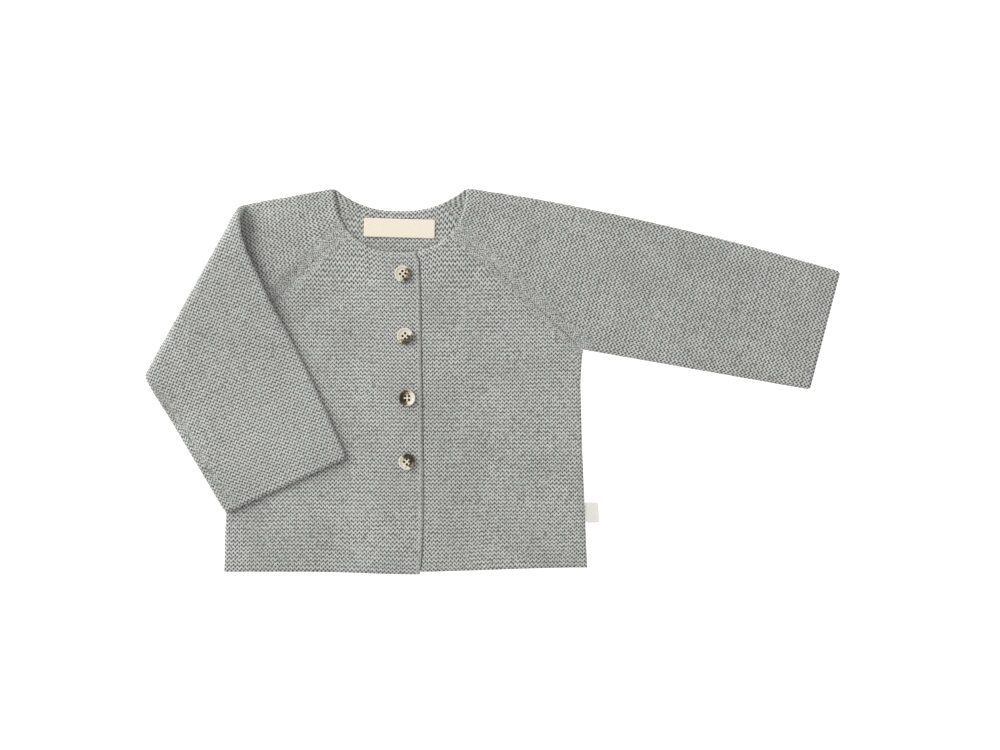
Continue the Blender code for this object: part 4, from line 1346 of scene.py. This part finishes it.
def woven_ribbon(name, colour):
    """Plain woven cotton: threads that cross, over and under."""
    material, shader = new_material(name, {"Roughness": 0.85, "Sheen Weight": 0.1})
    places = places_on(shader)
    x, y = parted(moved(places, "MULTIPLY", (RIBBON_THREADS * math.pi,) * 3))
    weave = x.through("SINE") * y.through("SINE")
    slub = noise_at(moved(places, "MULTIPLY", RIBBON_SLUB_STRETCH), RIBBON_SLUB_SCALE)
    shaded = tuple(RIBBON_SHADE * part for part in colour)
    cotton = coloured(weave * RIBBON_WEAVE_TONE + slub, list(zip(RIBBON_TONE_STOPS, (shaded, colour))))
    set_inputs(shader, {"Base Color": cotton, "Normal": bumped(weave, distance=0.06, strength=0.6)})
    return material


HORN_CREAM = (0.78, 0.74, 0.60)
HORN_TAN = (0.30, 0.22, 0.11)
HORN_OLIVE = (0.125, 0.10, 0.045)
HORN_DARK = (0.032, 0.019, 0.007)
HORN_TONES = ((0.0, HORN_CREAM), (0.25, HORN_TAN), (0.5, HORN_OLIVE), (1.0, HORN_DARK))
SMOKE_SLOPE = 1.5
SMOKE_START = 2.55
SMOKE_MOTTLE = 2.7
SMOKE_FINE_SCALE = 900.0
SMOKE_FINE_SHARE = 0.8
SMOKE_COARSE_SCALE = 380.0
SMOKE_OUTSIDE = (0.34, 0.52)  # from where to where it gathers, in shares of the radius
SMOKE_ON_RIM = (0.86, 1.0, 1.0, 0.3)  # and what is left of it across the rim
HOLE_SHADE = 1.2  # how far the painted shade round a hole reaches, in radii of the hole


def polished_horn(name, centre, place):
    """Cream horn, smoked brown on one side of the dish, with painted shade in and round its four holes.
    """
    surface = {"Roughness": 0.24, "Specular IOR Level": 0.35, "Coat Weight": 0.2, "Coat Roughness": 0.12}
    material, shader = new_material(name, surface)
    places = places_on(shader)
    from_centre = moved(places, "SUBTRACT", centre)
    x, y = parted(moved(from_centre, "MULTIPLY", (1.0 / (BUTTON_RADIUS * MM),) * 3))
    aside, _ = turned_by(x, y, math.radians(place.smoke_side))
    out = (x * x + y * y).through("SQRT")
    mottle = noise_at(places, SMOKE_FINE_SCALE) * SMOKE_FINE_SHARE + noise_at(places, SMOKE_COARSE_SCALE)
    smoke_and_hole_shade = mottle * SMOKE_MOTTLE + aside * SMOKE_SLOPE + (place.smoke_reach - SMOKE_START)
    smoke_and_hole_shade = smoke_and_hole_shade * ranged(out, *SMOKE_OUTSIDE) * ranged(out, *SMOKE_ON_RIM)
    sides = [side.through("ABSOLUTE") for side in turned_by(x, y, math.radians(place.turn))]
    beyond = sides[0].through("MAXIMUM", sides[1]) - HOLE_SPACING / BUTTON_RADIUS
    beside = sides[0].through("MINIMUM", sides[1])
    from_hole = (beyond * beyond + beside * beside).through("SQRT")
    edge = HOLE_RADIUS / BUTTON_RADIUS
    # The holes and a ring round each are painted dark as shade.
    smoke_and_hole_shade = smoke_and_hole_shade.through("MAXIMUM", ranged(from_hole, edge, HOLE_SHADE * edge, 1.0, 0.0))
    set_inputs(shader, {"Base Color": coloured(smoke_and_hole_shade, HORN_TONES)})
    return material


# ---- buttons ---------------------------------------------------------------------------------
BUTTONS = (  # x, y, the smoke's side in degrees and its reach, the holes' turn in degrees
    Button(-1.5, 221.1, -20.0, -0.1, 6.0),
    Button(0.3, 174.8, -52.0, 0.1, 0.0),
    Button(1.8, 128.7, 176.0, 0.45, 45.0),
    Button(1.5, 81.3, 38.0, 0.5, 2.0),
)
BUTTON_RADIUS = 6.1
BUTTON_THICKNESS = 2.9
BUTTON_SIDES = 64
BUTTON_RIM = 1.0
BUTTON_DISH_SLOPE = 0.9
BUTTON_DISH_DEPTH = 0.95
BUTTON_EDGE = 0.42
BUTTON_CLEAR = 1.5 * GAP
HOLE_RADIUS = 0.85
HOLE_SPACING = 1.95
HOLE_SIDES = 18


def only_selected(piece):
    bpy.ops.object.select_all(action="DESELECT")
    piece.select_set(True)
    bpy.context.view_layer.objects.active = piece


def applied(piece, kind, **settings):
    modifier = piece.modifiers.new(kind.lower(), kind)
    for name, value in settings.items():
        setattr(modifier, name, value)
    only_selected(piece)
    bpy.ops.object.modifier_apply(modifier=modifier.name)


def round_bar(sides, radius, length, place):
    """An upright cylinder about this place."""
    bpy.ops.mesh.primitive_cylinder_add(
        vertices=sides, radius=radius * MM, depth=length * MM, location=[part * MM for part in place]
    )
    return bpy.context.object


def button_seat(x, y):
    """Height of a button's underside over the table."""
    x, y = np.array(x), np.array(y)
    return float(right_front_base(x) + swell(x, y) + placket_dome(x, y)) + WALL + BUTTON_CLEAR


def dished_disc():
    """The button before its holes: a disc with a dish inside a flat rim, its edges rounded."""
    disc = round_bar(BUTTON_SIDES, BUTTON_RADIUS, BUTTON_THICKNESS, (0.0, 0.0, BUTTON_THICKNESS / 2))
    bpy.context.tool_settings.mesh_select_mode = (False, False, True)
    for face in disc.data.polygons:
        face.select = face.normal.z > 0.9
    bpy.ops.object.mode_set(mode="EDIT")
    bpy.ops.mesh.inset(thickness=BUTTON_RIM * MM, depth=0.0)
    bpy.ops.mesh.inset(thickness=BUTTON_DISH_SLOPE * MM, depth=-BUTTON_DISH_DEPTH * MM)
    bpy.ops.object.mode_set(mode="OBJECT")
    rounding = {"width": BUTTON_EDGE * MM, "segments": 4, "angle_limit": math.radians(25.0)}
    applied(disc, "BEVEL", limit_method="ANGLE", **rounding)
    return disc


def four_holes(turn):
    """The bars that cut a button's holes, joined."""
    holes = []
    for quarter in range(4):
        angle = turn + quarter * math.pi / 2
        place = (HOLE_SPACING * math.cos(angle), HOLE_SPACING * math.sin(angle), 0.0)
        holes.append(round_bar(HOLE_SIDES, HOLE_RADIUS, 4 * BUTTON_THICKNESS, place))
    for hole in holes:
        hole.select_set(True)
    bpy.ops.object.join()
    return bpy.context.object


def sewn_button(number, place):
    button, cutter = dished_disc(), four_holes(math.radians(place.turn))
    button.name = f"button_{number}_horn"
    applied(button, "BOOLEAN", operation="DIFFERENCE", solver="EXACT", object=cutter)
    bpy.data.objects.remove(cutter)
    seat = np.array((place.x, place.y, button_seat(place.x, place.y)))
    centre = [float(part) for part in (seat + FRAME_SHIFT) * MM]
    button.location = (centre[0], centre[1], centre[2] + BUTTON_THICKNESS / 2 * MM)
    only_selected(button)
    bpy.ops.object.transform_apply(location=True, rotation=True, scale=True)
    bpy.ops.object.shade_smooth_by_angle(angle=math.radians(35.0))
    button.data.materials.append(polished_horn(f"horn_{number}", centre, place))
    return button


# ---- labels ----------------------------------------------------------------------------------
RibbonCut = namedtuple("RibbonCut", "width height thickness corner")
RIBBON_STEP = 0.5
RIBBON_SOFTNESS = 0.25  # how far an edge thins, as a share of the thickness
LABEL = RibbonCut(width=53.0, height=14.0, thickness=0.6, corner=0.8)
LABEL_CENTRE = Place(-4.2, 255.3)
LABEL_TILT = math.radians(-1.6)
LABEL_CURL = 0.35
TAG = RibbonCut(width=10.0, height=15.4, thickness=0.8, corner=1.6)
TAG_HEIGHT = 43.3
TAG_DROOP = 1.5
TAG_CLEAR = 0.7 * GAP


def ribbon(name, cut, place_at, base, material):
    """A woven label: a flat wall whose underside follows base(x, y) about its own centre."""
    width, height, thickness, corner = cut
    xs = np.linspace(-width / 2, width / 2, round(width / RIBBON_STEP) + 1)
    ys = np.linspace(-height / 2, height / 2, round(height / RIBBON_STEP) + 1)
    y, x = np.meshgrid(ys, xs, indexing="ij")
    into = np.clip(corner - (height / 2 - np.abs(ys)), 0.0, corner)
    half = width / 2 - corner + np.sqrt(corner**2 - into**2)
    x = x * (half / (width / 2))[:, None]
    to_edge = np.minimum(half[:, None] - np.abs(x), height / 2 - np.abs(y))
    soft = RIBBON_SOFTNESS * thickness * (1.0 - ease(to_edge / thickness))
    low = base(x, y)
    outside = stacked(*place_at(x, y), low + thickness - soft)
    inside = stacked(*place_at(x, y), low + soft)
    whole = (np.zeros(len(ys), int), np.full(len(ys), len(xs) - 1))
    everywhere = np.ones(x.shape, bool)
    made = cloth_piece(name, outside, inside, whole, everywhere, everywhere, stacked(x, y), material)
    return made


def neck_label():
    def place_at(x, y):
        turn_cos, turn_sin = math.cos(LABEL_TILT), math.sin(LABEL_TILT)
        return LABEL_CENTRE.x + x * turn_cos - y * turn_sin, LABEL_CENTRE.y + x * turn_sin + y * turn_cos

    def base(x, y):
        return WALL + GAP + LABEL_CURL * (2.0 * x / LABEL.width) ** 2 * (0.5 + y / LABEL.height)

    cotton = woven_ribbon("cream_ribbon", CREAM_RIBBON)
    return ribbon("neck_label_ribbon", LABEL, place_at, base, cotton)


def side_tag():
    def place_at(x, y):
        return side_edge("left", TAG_HEIGHT + y) + TAG_CLEAR + TAG.width / 2 + x, TAG_HEIGHT + y

    def base(x, _):
        return HALF - TAG.thickness / 2 - TAG_DROOP * ease(0.5 + x / TAG.width)

    cotton = woven_ribbon("pale_ribbon", PALE_RIBBON)
    return ribbon("side_tag_ribbon", TAG, place_at, base, cotton)


# ---- the whole garment -----------------------------------------------------------------------
def dress(node, piece):
    """Puts a finished piece in place of its solid."""
    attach(piece, "root")
    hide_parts(node)


yarn = knitted_yarn()
dress("back", back_panel(yarn))
for side in FRONTS:
    dress(f"front_{side}", front_panel(side, yarn))
dress("sleeve_left", left_sleeve(yarn))
dress("sleeve_right", right_sleeve(yarn))
for number, place in enumerate(BUTTONS, 1):
    dress(f"button_{number}", sewn_button(number, place))
dress("neck_label", neck_label())
dress("side_tag", side_tag())

# ---- floor, light and camera -----------------------------------------------------------------
camera_data = bpy.data.cameras.new("camera")
camera_data.lens = 100.0
camera_data.sensor_width = 36.0
camera = bpy.data.objects.new("camera", camera_data)
camera.location = (0.0052, 0.0045, 2.075)
bpy.context.scene.collection.objects.link(camera)
bpy.context.scene.camera = camera

bpy.ops.mesh.primitive_plane_add(size=6.0, location=(0, 0, 0))
floor = bpy.context.object
floor.name = "floor"
white = (1.0, 1.0, 1.0, 1.0)
paper_surface = {"Base Color": (0.6, 0.6, 0.6, 1.0), "Emission Color": white, "Emission Strength": 0.85}
paper, _ = new_material("white_paper", {"Roughness": 0.9, **paper_surface})
floor.data.materials.append(paper)

key_light = bpy.data.lights.new("key", "AREA")
key_light.energy = 43.5
key_light.size = 1.8
key = bpy.data.objects.new("key", key_light)
key.location = (-1.74, 0.92, 1.54)
key.rotation_euler = (-key.location).to_track_quat("-Z", "Y").to_euler()
bpy.context.scene.collection.objects.link(key)
studio = bpy.data.worlds.new("studio")
studio.use_nodes = True
set_inputs(studio.node_tree.nodes["Background"], {"Color": white, "Strength": 0.62})
bpy.context.scene.world = studio
bpy.context.scene.view_settings.view_transform = "Standard"
